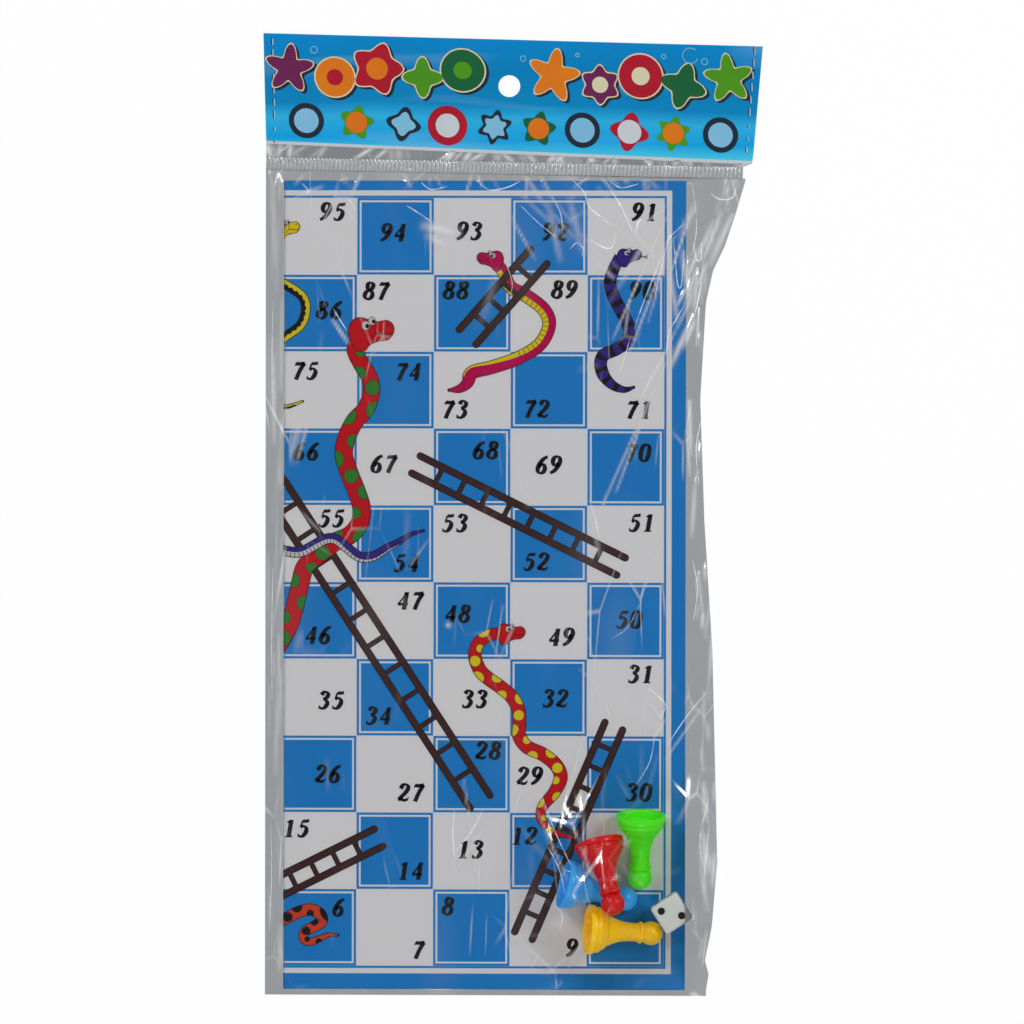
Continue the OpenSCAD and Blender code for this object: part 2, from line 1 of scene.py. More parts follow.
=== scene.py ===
"""Dresses the folded snakes and ladders board, its loose pieces and its header bag.

Lengths are in millimetres inside the classes and become metres when a mesh is built.
"""
import logging
import math
from dataclasses import dataclass
from enum import Enum
from typing import ClassVar

import bpy
import numpy as np
from mathutils import Euler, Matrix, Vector


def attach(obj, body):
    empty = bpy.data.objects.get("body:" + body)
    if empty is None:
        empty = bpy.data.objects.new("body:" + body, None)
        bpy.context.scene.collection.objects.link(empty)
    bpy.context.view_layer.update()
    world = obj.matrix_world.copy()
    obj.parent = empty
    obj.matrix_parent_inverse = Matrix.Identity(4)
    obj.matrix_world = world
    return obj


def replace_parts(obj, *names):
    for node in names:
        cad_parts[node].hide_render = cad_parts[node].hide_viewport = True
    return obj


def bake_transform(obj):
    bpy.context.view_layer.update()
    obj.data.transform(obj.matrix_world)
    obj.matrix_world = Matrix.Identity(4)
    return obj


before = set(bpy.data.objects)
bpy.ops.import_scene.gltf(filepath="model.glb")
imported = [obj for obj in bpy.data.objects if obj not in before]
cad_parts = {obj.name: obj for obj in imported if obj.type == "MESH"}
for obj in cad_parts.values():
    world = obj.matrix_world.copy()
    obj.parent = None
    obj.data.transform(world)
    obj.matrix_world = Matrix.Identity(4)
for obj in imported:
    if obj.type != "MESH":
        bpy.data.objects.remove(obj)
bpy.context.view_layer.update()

MM = 0.001
FULL_TURN = 2 * math.pi
LOG = logging.getLogger("pack")
Point = tuple[float, float]
Space = tuple[float, float, float]
Colour = tuple[int, int, int]


# ---- finishes ----------------------------------------------------------------------------------


def linear(*colour: int) -> tuple[float, float, float, float]:
    """Turns a colour as seen on a screen, 0 to 255, into the shader's linear colour with full alpha."""
    parts = [v / 255 for v in colour]
    return (*[v / 12.92 if v <= 0.04045 else ((v + 0.055) / 1.055) ** 2.4 for v in parts], 1.0)


class Tree:
    """Places and joins the nodes of one node tree; wherever a value is taken, an output may be given."""

    def __init__(self, tree: bpy.types.NodeTree) -> None:
        """Starts with an empty tree."""
        self.tree = tree
        tree.nodes.clear()

    def give(self, target: bpy.types.NodeSocket, value: object) -> None:
        """Joins an output to an input, or sets the input's value.

        Args:
            target: The input.
            value: An output or a plain value.
        """
        if isinstance(value, bpy.types.NodeSocket):
            self.tree.links.new(value, target)
        else:
            target.default_value = value

    def node(self, kind: str, **settings: object) -> bpy.types.Node:
        """Adds a node.

        Args:
            kind: Blender's name of the node's type, where ShaderNode may be left out.
            **settings: Attributes, or inputs when the name starts with in_.

        Returns:
            The new node.
        """
        made = self.tree.nodes.new(kind if kind.startswith("Node") else "ShaderNode" + kind)
        for name, value in settings.items():
            if name.startswith("in_"):
                self.give(made.inputs[name[3:].replace("_", " ")], value)
            else:
                setattr(made, name, value)
        return made

    def maths(self, how: str, *values: object, clamp: bool = True) -> bpy.types.NodeSocket:
        """Works out one sum.

        Args:
            how: The sum's name.
            *values: Its values.
            clamp: Keeps it from 0 to 1.

        Returns:
            The result.
        """
        made = self.node("Math", operation=how, use_clamp=clamp)
        for target, value in zip(made.inputs, values):
            self.give(target, value)
        return made.outputs[0]

    def spot(self) -> bpy.types.NodeSocket:
        """Gives each point's place on its object."""
        return self.node("TexCoord").outputs["Object"]

    def turned(self, spot: object, turn_deg: float, scale: Space = (1, 1, 1)) -> bpy.types.NodeSocket:
        """Turns places about z and stretches them."""
        return self.node("Mapping", vector_type="POINT", in_Vector=spot, in_Rotation=(0, 0, math.radians(turn_deg)),
                         in_Scale=scale).outputs["Vector"]

    def noise(self, spot: object, scale: object, detail: float, distortion: float = 0.0) -> bpy.types.NodeSocket:
        """Gives a noise value at each place."""
        return self.node("TexNoise", in_Vector=spot, in_Scale=scale, in_Detail=detail,
                         in_Distortion=distortion).outputs["Fac"]

    def span(self, value: object, low: float, high: float, first: object = 0.0,
             last: object = 1.0) -> bpy.types.NodeSocket:
        """Maps the values from low to high onto those from first to last."""
        return self.node("MapRange", in_Value=value, in_From_Min=low, in_From_Max=high, in_To_Min=first,
                         in_To_Max=last).outputs["Result"]

    def blend(self, share: object, first: object, second: object) -> bpy.types.NodeSocket:
        """Blends two colours."""
        return self.node("Mix", data_type="RGBA", in_Factor=share, in_A=first, in_B=second).outputs["Result"]

    def bump(self, height: object, depth_mm: float, strength: float) -> bpy.types.NodeSocket:
        """Gives the normal of a surface with a fine relief."""
        return self.node("Bump", in_Distance=depth_mm * MM, in_Strength=strength,
                         in_Height=height).outputs["Normal"]

    def mix(self, share: object, *shaders: object) -> bpy.types.NodeSocket:
        """Mixes two shaders.

        Args:
            share: The second one's share.
            *shaders: The two shaders.

        Returns:
            The mix.
        """
        made = self.node("MixShader", in_Fac=share)
        for target, shader in zip(made.inputs[1:], shaders):
            self.give(target, shader)
        return made.outputs[0]


def start_group(name: str, takes: dict[str, str], gives: dict[str, str]) -> Tree:
    """Starts a node group.

    Args:
        name: The group's name.
        takes: The kind of each input, by its name.
        gives: The kind of each output, by its name.

    Returns:
        The group's empty tree.
    """
    made = bpy.data.node_groups.new(name, "ShaderNodeTree")
    for way, sockets in (("INPUT", takes), ("OUTPUT", gives)):
        for label, kind in sockets.items():
            made.interface.new_socket(label, in_out=way, socket_type="NodeSocket" + kind)
    return Tree(made)


def variation_group() -> bpy.types.NodeTree:
    """Gives the group that varies a colour and a roughness over a surface, made once.

    Returns:
        The group.
    """
    name = "Surface variation"
    if name in bpy.data.node_groups:
        return bpy.data.node_groups[name]
    tree = start_group(name, {"Colour": "Color", "Shade": "Color", "Scale": "Float", "Smooth": "Float",
                              "Rough": "Float"}, {"Colour": "Color", "Roughness": "Float", "Height": "Float"})
    given, spot = tree.node("NodeGroupInput").outputs, tree.spot()
    broad = tree.noise(spot, given["Scale"], 3.0)
    fine = tree.noise(spot, tree.maths("MULTIPLY", given["Scale"], 14.0, clamp=False), 2.0)
    tree.node("NodeGroupOutput", in_Height=fine,
              in_Colour=tree.blend(tree.maths("MULTIPLY", broad, 1.3), given["Colour"], given["Shade"]),
              in_Roughness=tree.span(fine, 0.0, 1.0, given["Smooth"], given["Rough"]))
    return tree.tree


def crumple_group() -> bpy.types.NodeTree:
    """Gives the film's painted sheen, made once: pale patches and thin bright lines where a pattern, not the sheet's
    shape, raises the mirror share of clear film.

    Returns:
        The group.
    """
    name = "film_crumple"
    if name in bpy.data.node_groups:
        return bpy.data.node_groups[name]
    tree = start_group(name, {"Facets": "Float", "Folds": "Float"}, {"Shine": "Float"})
    given, spot = tree.node("NodeGroupInput").outputs, tree.spot()
    total = 0.0
    for turn, stretch, size in ((24, 2.6, 26.0), (-38, 3.4, 19.0)):
        laid = tree.turned(spot, turn, (stretch, 1.0, 0.0))
        cells = tree.node("TexVoronoi", in_Scale=size, in_Vector=laid).outputs
        edge = tree.node("TexVoronoi", feature="DISTANCE_TO_EDGE", in_Scale=size, in_Vector=laid).outputs
        pale = tree.span(tree.node("SeparateColor", in_Color=cells["Color"]).outputs[0], 0.62, 1.0)
        near = tree.span(cells["Distance"], 0.0, 0.5, 1.0, 0.1)
        thin = tree.span(edge["Distance"], 0.0, 0.022, 1.0, 0.0)
        some = tree.span(tree.noise(spot, 34.0 + turn * 0.1, 1.0), 0.56, 0.7)
        # Each patch and line is painted sheen: it only raises the share of mirror in the film.
        facet = tree.maths("MULTIPLY", tree.maths("MULTIPLY", pale, near), given["Facets"])
        fold = tree.maths("MULTIPLY", tree.maths("MULTIPLY", thin, some), given["Folds"])
        total = tree.maths("ADD", total, tree.maths("ADD", facet, fold))
    tree.node("NodeGroupOutput", in_Shine=total)
    return tree.tree


@dataclass(frozen=True)
class Look:
    """A finish, which has one material."""

    name: str

    def material(self) -> bpy.types.Material:
        """Gives the finish's material, made once.

        Returns:
            The material.
        """
        made = bpy.data.materials.get(self.name)
        if made is None:
            made = bpy.data.materials.new(self.name)
            made.use_nodes = True
            tree = Tree(made.node_tree)
            tree.node("OutputMaterial", in_Surface=self.surface(tree))
        return made

    def surface(self, tree: Tree) -> bpy.types.NodeSocket:
        """Gives the shader of the surface."""
        raise NotImplementedError


@dataclass(frozen=True)
class Solid(Look):
    """An opaque finish: print, card or moulded plastic."""

    colour: Colour
    shade: Colour
    scale: float = 60.0
    smooth: float = 0.36
    rough: float = 0.52
    bump_mm: float = 0.01
    coat: float = 0.0
    glow: float = 0.0
    gloss: float = 0.1
    # Strength of a painted glow: an emission in the finish's own colour.
    lit: float = 0.0

    def surface(self, tree: Tree) -> bpy.types.NodeSocket:
        """Gives a shader with a slightly uneven colour and roughness.

        Args:
            tree: The material's tree.

        Returns:
            The shader.
        """
        colour = linear(*self.colour)
        vary = tree.node("Group", node_tree=variation_group(), in_Colour=colour, in_Shade=linear(*self.shade),
                         in_Scale=self.scale, in_Smooth=self.smooth, in_Rough=self.rough).outputs
        # The emission in the finish's own colour is a painted glow: the pawns and the die shine a little though they
        # are no lamp.
        return tree.node("BsdfPrincipled", in_Base_Color=vary["Colour"], in_Roughness=vary["Roughness"],
                         in_Normal=tree.bump(vary["Height"], self.bump_mm, 0.6), in_Coat_Weight=self.coat,
                         in_Coat_Roughness=0.12, in_Specular_IOR_Level=self.gloss, in_Emission_Color=colour,
                         in_Emission_Strength=self.lit, in_Subsurface_Weight=self.glow,
                         in_Subsurface_Scale=0.004, in_Subsurface_Radius=(1.0, 0.8, 0.6)).outputs["BSDF"]


@dataclass(frozen=True)
class LitFloor(Solid):
    """The floor's finish, which the camera sees as white."""

    white: float = 1.06
    white_share: float = 0.86

    def surface(self, tree: Tree) -> bpy.types.NodeSocket:
        """Gives a shader that glows in the camera's view only.

        Args:
            tree: The material's tree.

        Returns:
            The shader.
        """
        rays = tree.node("LightPath").outputs
        seen = tree.maths("MAXIMUM", rays["Is Camera Ray"], rays["Is Transmission Ray"])
        glow = tree.node("Emission", in_Strength=self.white).outputs[0]
        return tree.mix(tree.maths("MULTIPLY", seen, self.white_share), super().surface(tree), glow)


@dataclass(frozen=True)
class Film(Look):
    """A clear film: it lets the surface under it show, and gleams along its creases, partly through their real shape
    and partly through a painted highlight that raises its mirror share.
    """

    tint: Colour
    gleam: float
    haze: float = 0.0
    haze_colour: Colour = (190, 192, 194)
    ior: float = 1.18
    wrinkle_mm: float = 0.12
    wrinkle_scale: float = 90.0
    # facets and folds set the strength of the painted sheen's pale patches and bright lines.
    facets: float = 0.05
    folds: float = 0.3
    lit: float = 0.0

    def surface(self, tree: Tree) -> bpy.types.NodeSocket:
        """Gives a clear shader that mirrors along creases, where a gleam mask paints highlights, under a thin haze.

        Args:
            tree: The material's tree.

        Returns:
            The shader.
        """
        noise = tree.noise(tree.spot(), self.wrinkle_scale, 2.5, 1.2)
        normal = tree.bump(noise, self.wrinkle_mm, 0.8)
        clear = tree.node("BsdfTransparent", in_Color=linear(*self.tint)).outputs[0]
        mirror = tree.node("BsdfPrincipled", in_Base_Color=(0.95, 0.96, 0.97, 1), in_Metallic=1.0,
                           in_Roughness=0.12, in_Normal=normal).outputs[0]
        facing = tree.node("Fresnel", in_IOR=self.ior, in_Normal=normal).outputs[0]
        # The gleam attribute and the sheen group are painted highlights: they raise the mirror share along creases and
        # in patches, beside the real reflections of the creased sheet.
        crease = tree.node("Attribute", attribute_name="gleam").outputs["Fac"]
        painted_sheen = tree.node("Group", node_tree=crumple_group(), in_Facets=self.facets, in_Folds=self.folds)
        amount = tree.maths("ADD", facing, tree.maths("MULTIPLY", crease, self.gleam))
        film = tree.mix(tree.maths("ADD", amount, painted_sheen.outputs["Shine"]), clear, mirror)
        if not self.haze:
            return film
        milky = linear(*self.haze_colour)
        # The milky part's emission is a painted glow, used on the fold ridges as a painted highlight.
        milk = tree.node("BsdfPrincipled", in_Base_Color=milky, in_Roughness=0.35, in_Emission_Color=milky,
                         in_Emission_Strength=self.lit, in_Normal=normal).outputs[0]
        return tree.mix(tree.span(noise, 0.35, 0.7, self.haze * 0.5, self.haze * 1.5), film, milk)


@dataclass(frozen=True)
class PrintedFilm(Look):
    """The header's film, printed with a sky-blue gradient, with soft pale bands blended into it as painted highlights.
    """

    ramp: tuple[tuple[float, Colour], ...]
    low_y: float
    high_y: float
    turn_deg: float

    def surface(self, tree: Tree) -> bpy.types.NodeSocket:
        """Gives a glossy shader with the gradient and its painted highlight bands.

        Args:
            tree: The material's tree.

        Returns:
            The shader.
        """
        spot = tree.spot()
        level = tree.turned(spot, self.turn_deg)
        up = tree.node("SeparateXYZ", in_Vector=level).outputs["Y"]
        rise = tree.span(up, self.low_y * MM, self.high_y * MM)
        swayed = tree.maths("MULTIPLY_ADD", tree.noise(level, 14.0, 1.0), 0.22, rise, clamp=False)
        ramp = tree.node("ValToRGB", in_Fac=tree.maths("SUBTRACT", swayed, 0.11))
        steps = ramp.color_ramp.elements
        while len(steps) < len(self.ramp):
            steps.new(0.5)
        for step, (at, colour) in zip(steps, self.ramp):
            step.position = at
            step.color = linear(*colour)
        # The pale bands blended into the colour are painted highlights of the film's soft waves.
        painted_streak = tree.noise(tree.turned(spot, 14, (1.0, 9.0, 1.0)), 11.0, 1.5, 0.4)
        printed = tree.blend(tree.span(painted_streak, 0.56, 0.74, 0.0, 0.34), ramp.outputs["Color"], linear(150, 215, 250))
        vary = tree.node("Group", node_tree=variation_group(), in_Scale=50.0, in_Smooth=0.2, in_Rough=0.34).outputs
        return tree.node("BsdfPrincipled", in_Base_Color=printed, in_Roughness=vary["Roughness"],
                         in_Normal=tree.bump(vary["Height"], 0.03, 0.5), in_Specular_IOR_Level=0.06,
                         in_Coat_Weight=0.12, in_Coat_Roughness=0.1).outputs["BSDF"]


class Ink(Enum):
    """The inks of the board, in the order of their material slots."""

    BLUE = Solid("print_blue", (38, 134, 206), (31, 127, 200), 45, 0.34, 0.5)
    PALE = Solid("print_pale_line", (188, 203, 232), (180, 197, 228), 45, 0.34, 0.5)
    BLACK = Solid("print_black", (17, 18, 21), (25, 25, 28), 90)
    BROWN = Solid("print_dark_brown", (70, 44, 42), (60, 37, 36), 70)
    RED = Solid("print_red", (206, 14, 28), (190, 26, 36))
    DEEP_RED = Solid("print_deep_red", (150, 16, 28), (140, 18, 28))
    GREEN = Solid("print_green", (60, 134, 52), (52, 122, 46))
    YELLOW = Solid("print_yellow", (226, 206, 34), (216, 194, 32))
    MAGENTA = Solid("print_magenta", (192, 10, 88), (180, 10, 80))
    PURPLE = Solid("print_purple", (62, 44, 134), (52, 38, 122))
    ORANGE = Solid("print_orange", (214, 74, 48), (204, 66, 44))
    WHITE = Solid("print_white", (206, 204, 204), (198, 196, 197))


def header_ink(name: str, colour: Colour, shade: Colour, scale: float = 60, rough: float = 0.35) -> Solid:
    """Gives one of the header's shiny inks."""
    return Solid("header_" + name, colour, shade, scale, 0.2, rough, 0.01, 0.2)


def moulded(name: str, colour: Colour, shade: Colour, glow: float) -> Solid:
    """Gives the plastic of one pawn, with a faint painted glow in its own colour."""
    return Solid("pawn_" + name, colour, shade, 90, 0.22, 0.34, 0.02, 0.15, glow, 0.2, 0.14)


class Finish:
    """The finishes that aren't board inks."""

    PAPER = Solid("coated_paper", (192, 189, 191), (184, 181, 184), 26, 0.34, 0.5, 0.008)
    CARD = Solid("grey_card", (168, 164, 156), (150, 146, 138), 180, 0.75, 0.9, 0.05)
    CLEAR = Film("film_over_board", (251, 251, 252), 0.8, ior=1.1, facets=0.045, folds=0.36)
    MARGIN = Film("film_margin", (184, 186, 188), 1.0, 0.2, (176, 179, 182), 1.3, 0.3, 55.0, 0.36, 0.7)
    UNDER = Film("film_under", (216, 218, 220), 0.3, 0.04, (176, 179, 182), 1.2, facets=0.0, folds=0.0)
    # The fold ridges' white, faintly glowing finish is a painted highlight.
    FOLD = Film("film_fold_painted_highlight", (250, 251, 252), 0.0, 0.42, (255, 255, 255), 1.1, 0.02, 300.0, 0.0, 0.0, 0.45)
    SEAL = Film("film_seal", (196, 198, 200), 0.4, 0.4, (190, 193, 197), 1.4, 0.1, 300.0)
    HEADER = PrintedFilm("header_blue", ((0.0, (84, 226, 255)), (0.14, (10, 178, 250)), (0.3, (50, 194, 250)),
                                         (0.42, (2, 146, 212)), (0.7, (0, 140, 206)), (1.0, (0, 150, 228))),
                         136.0, 176.0, 1.1)
    STRIP = header_ink("white_strip", (226, 232, 236), (210, 220, 228), 80, 0.4)
    CREAM = header_ink("cream", (240, 232, 196), (232, 224, 186), 80)
    SHADOW = header_ink("dark", (22, 34, 52), (30, 42, 60), 80)
    CRIMSON = header_ink("red", (206, 24, 50), (176, 14, 44))
    TANGERINE = header_ink("orange", (244, 150, 26), (236, 112, 24))
    LEAF = header_ink("green", (96, 176, 22), (70, 150, 24))
    PINE = header_ink("deep_green", (18, 112, 62), (14, 96, 54))
    PLUM = header_ink("purple", (126, 34, 92), (108, 28, 84))
    BUBBLE = header_ink("bubble", (150, 212, 244), (130, 200, 240))
    GREEN_PLASTIC = moulded("green", (84, 240, 22), (74, 228, 16), 0.12)
    RED_PLASTIC = moulded("red", (214, 10, 16), (200, 8, 12), 0.1)
    BLUE_PLASTIC = moulded("blue", (58, 166, 240), (50, 156, 232), 0.1)
    YELLOW_PLASTIC = moulded("yellow", (255, 206, 10), (252, 194, 8), 0.12)
    # The die's finish carries a faint painted glow.
    DIE = Solid("die_white", (224, 228, 222), (212, 218, 210), 120, 0.26, 0.4, 0.015, 0.1, 0.3, 0.25, 0.05)
    PIP = Solid("pip_black", (26, 27, 28), (34, 34, 36), 200, 0.5, 0.7, 0.02)
    FLOOR = LitFloor("pale_floor", (236, 236, 236), (232, 232, 232), 3, 0.7, 0.85)


# ---- meshes ------------------------------------------------------------------------------------


class Draft:
    """Collects the faces of one piece, in millimetres, before its mesh is made."""

    def __init__(self, name: str, finishes: list[Look]) -> None:
        """Starts an empty piece with its finishes in slot order.

        Args:
            name: The piece's name.
            finishes: One finish for each material slot.
        """
        self.name = name
        self.finishes = finishes
        self.points: list[Space] = []
        self.faces: list[list[int]] = []
        self.slots: list[int] = []
        self.gleams: list[float] = []

    def polygon(self, points: list[Space], slot: int) -> None:
        """Adds one flat face.

        Args:
            points: Its corners.
            slot: Its material slot.
        """
        first = len(self.points)
        self.points.extend(points)
        self.faces.append(list(range(first, first + len(points))))
        self.slots.append(slot)

    def grid(self, points: np.ndarray, slot: int | np.ndarray, flip: bool = False, closed: bool = False,
             gleam: float | np.ndarray | None = None) -> None:
        """Adds a grid of faces.

        Args:
            points: Rows by columns by three coordinates.
            slot: One slot, or one for each face, where a negative slot leaves the face out.
            flip: Turns the faces over.
            closed: Joins the last column to the first.
            gleam: How strongly the film's painted highlight gleams, at every point or at each.
        """
        rows, cols = points.shape[:2]
        first = len(self.points)
        self.points.extend(map(tuple, points.reshape(-1, 3)))
        if gleam is not None:
            self.gleams.extend(np.broadcast_to(gleam, (rows, cols)).ravel().tolist())
        for i in range(rows - 1):
            for j in range(cols if closed else cols - 1):
                here = slot if isinstance(slot, int) else int(slot[i, j])
                if here < 0:
                    continue
                a, b = first + i * cols + j, first + i * cols + (j + 1) % cols
                face = [a, b, b + cols, a + cols]
                self.faces.append(face[::-1] if flip else face)
                self.slots.append(here)

    def build(self, sharp_deg: float | None = None) -> bpy.types.Object:
        """Makes the piece's object.

        Args:
            sharp_deg: Smooth shading with edges kept sharp above this angle, or flat when None.

        Returns:
            The new object.
        """
        mesh = bpy.data.meshes.new(self.name)
        mesh.from_pydata((np.array(self.points, float) * MM).tolist(), [], self.faces)
        for finish in self.finishes:
            mesh.materials.append(finish.material())
        mesh.polygons.foreach_set("material_index", self.slots)
        if self.gleams:
            mesh.attributes.new("gleam", "FLOAT", "POINT").data.foreach_set("value", self.gleams)
        if sharp_deg is not None:
            mesh.shade_smooth()
            mesh.set_sharp_from_angle(angle=math.radians(sharp_deg))
        mesh.update()
        made = bpy.data.objects.new(self.name, mesh)
        bpy.context.scene.collection.objects.link(made)
        LOG.info("%s: %d faces", self.name, len(self.faces))
        return made


def smooth_line(points: np.ndarray, steps: int, closed: bool = False) -> np.ndarray:
    """Runs a smooth curve through points.

    Args:
        points: The points, one in each row.
        steps: Points made for each span.
        closed: Joins the end to the start.

    Returns:
        The points of the curve.
    """
    p = np.asarray(points, float)
    n = len(p)
    out = []
    for i in range(n if closed else n - 1):
        a, b, c, d = (p[k % n if closed else min(max(k, 0), n - 1)] for k in range(i - 1, i + 3))
        for t in np.arange(steps) / steps:
            out.append((2 * b + (c - a) * t + (2 * a - 5 * b + 4 * c - d) * t * t
                        + (3 * b - a - 3 * c + d) * t ** 3) / 2)
    return np.array(out if closed else [*out, p[-1]])


def sides(line: np.ndarray) -> tuple[np.ndarray, np.ndarray]:
    """Gives the unit direction along a line, and the one to its left, at each of its points.

    Args:
        line: The points, one in each row.

    Returns:
        Both directions, one in each row.
    """
    way = np.gradient(line, axis=0)
    way /= np.maximum(1e-9, np.linalg.norm(way, axis=1))[:, None]
    return way, np.stack([-way[:, 1], way[:, 0]], 1)


def quads(low: np.ndarray, high: np.ndarray) -> list[list[Point]]:
    """Gives the four-cornered pieces of the band between two lines."""
    return [[low[k], low[k + 1], high[k + 1], high[k]] for k in range(len(low) - 1)]


def cut(polygon: list[Point], edge: float, keep_above: bool) -> list[Point]:
    """Cuts a polygon along a line of constant x.

    Args:
        polygon: The polygon's corners.
        edge: The line's x.
        keep_above: Keeps the side with the larger x.

    Returns:
        The corners of what is left.
    """
    out: list[Point] = []
    for p, q in zip(polygon, polygon[1:] + polygon[:1]):
        inside = [x >= edge if keep_above else x <= edge for x in (p[0], q[0])]
        if inside[0]:
            out.append(p)
        if inside[0] != inside[1]:
            t = (edge - p[0]) / (q[0] - p[0])
            out.append((edge, p[1] + (q[1] - p[1]) * t))
    return out


# ---- the printed board -------------------------------------------------------------------------


@dataclass(frozen=True)
class Digits:
    """Bold slanted numerals with thick and thin strokes, drawn as strips.

    Each stroke has its points, in shares of the numeral's height, and its weight, or 0 for a weight that
    follows the stroke's direction.
    """

    height: float = 5.8
    pitch: float = 4.4
    slant: float = 0.17
    thin: float = 0.115
    thick: float = 0.262
    half_width: float = 0.31
    strokes: ClassVar[dict[str, list[tuple[list[Point], float]]]] = {
        "0": [([(.31, .96), (.14, .84), (.09, .5), (.14, .16), (.31, .04), (.48, .16), (.53, .5), (.48, .84),
                (.31, .96)], 0)],
        "1": [([(.33, .02), (.33, .5), (.33, .96)], .25), ([(.33, .95), (.24, .86), (.12, .84)], .09),
              ([(.12, .035), (.33, .035), (.53, .035)], .075)],
        "2": [([(.13, .72), (.15, .86), (.3, .95), (.46, .86), (.49, .7), (.4, .5), (.22, .28), (.08, .1)], 0),
              ([(.06, .09), (.2, .12), (.4, .07), (.56, .12)], .16), ([(.56, .1), (.6, .24)], .07),
              ([(.12, .7), (.17, .74)], .17)],
        "3": [([(.12, .78), (.2, .92), (.33, .95), (.46, .84), (.43, .66), (.25, .54)], 0),
              ([(.25, .54), (.42, .47), (.5, .3), (.4, .1), (.22, .04), (.08, .12)], 0),
              ([(.08, .13), (.13, .17)], .16)],
        "4": [([(.44, .95), (.26, .64), (.05, .3)], .11), ([(.04, .3), (.3, .3), (.58, .3)], .15),
              ([(.42, .96), (.42, .5), (.42, .0)], .25)],
        "5": [([(.2, .89), (.38, .89), (.56, .92)], .18), ([(.2, .9), (.17, .74), (.14, .56)], .1),
              ([(.14, .56), (.3, .62), (.46, .5), (.48, .3), (.37, .1), (.22, .04), (.07, .1)], 0),
              ([(.07, .11), (.12, .16)], .15)],
        "6": [([(.55, .94), (.36, .84), (.18, .58), (.11, .3), (.18, .1), (.31, .04), (.46, .12), (.5, .32),
                (.4, .51), (.28, .52), (.15, .4)], 0)],
        "7": [([(.1, .89), (.3, .87), (.58, .91)], .2), ([(.56, .9), (.38, .52), (.24, .0)], .24),
              ([(.1, .92), (.08, .76)], .07)],
        "8": [([(.32, .96), (.18, .88), (.19, .66), (.32, .54), (.45, .66), (.46, .86), (.32, .96)], 0),
              ([(.31, .54), (.13, .42), (.11, .18), (.3, .04), (.49, .16), (.48, .4), (.31, .54)], 0)],
        "9": [([(.07, .06), (.26, .16), (.44, .42), (.51, .7), (.44, .9), (.31, .96), (.16, .88), (.12, .68),
                (.22, .49), (.34, .48), (.47, .6)], 0)]}

    def strips(self, text: str, centre: Point) -> list[list[Point]]:
        """Gives the quads of a number.

        Args:
            text: The number's digits.
            centre: The middle of the number, in millimetres on the unrolled sheet.

        Returns:
            The corners of each quad.
        """
        out: list[list[Point]] = []
        start = -(len(text) - 1) * self.pitch / 2 - self.half_width * self.height
        for place, digit in enumerate(text):
            for line, weight in self.strokes[digit]:
                path = smooth_line(line, 5)
                way, left = sides(path)
                steep = np.abs(way[:, 1] * 0.97 + way[:, 0] * 0.25) ** 1.6
                width = np.full(len(path), weight) if weight else self.thin + (self.thick - self.thin) * steep
                side = left * width[:, None] / 2
                ends = np.stack([path - side, path + side])
                x = (ends[..., 0] + self.slant * (ends[..., 1] - 0.5)) * self.height
                y = (ends[..., 1] - 0.5) * self.height
                out += quads(*np.stack([x + start + place * self.pitch + centre[0], y + centre[1]], -1))
        return out


class Pattern(Enum):
    """How a snake's skin is marked."""

    SPOTS = 1
    BANDS = 2
    BELLY = 3
    SCALLOPS = 4
    TICKS = 5


@dataclass(frozen=True)
class Snake:
    """One printed snake: its run of columns and rows, head first, and its colours."""

    line: tuple[Point, ...]
    width: float
    skin: Ink
    marks: Ink
    pattern: Pattern
    side: int
    head: tuple[Point, float, float]
    tongue: bool = False
    taper: float = 0.3
    level: float = 0.0


@dataclass(frozen=True)
class Ladder:
    """One printed ladder: its ends as column and row, its gauge in squares, its rungs and its layer."""

    start: Point
    end: Point
    gauge: float
    rungs: int
    level: float = 0.0


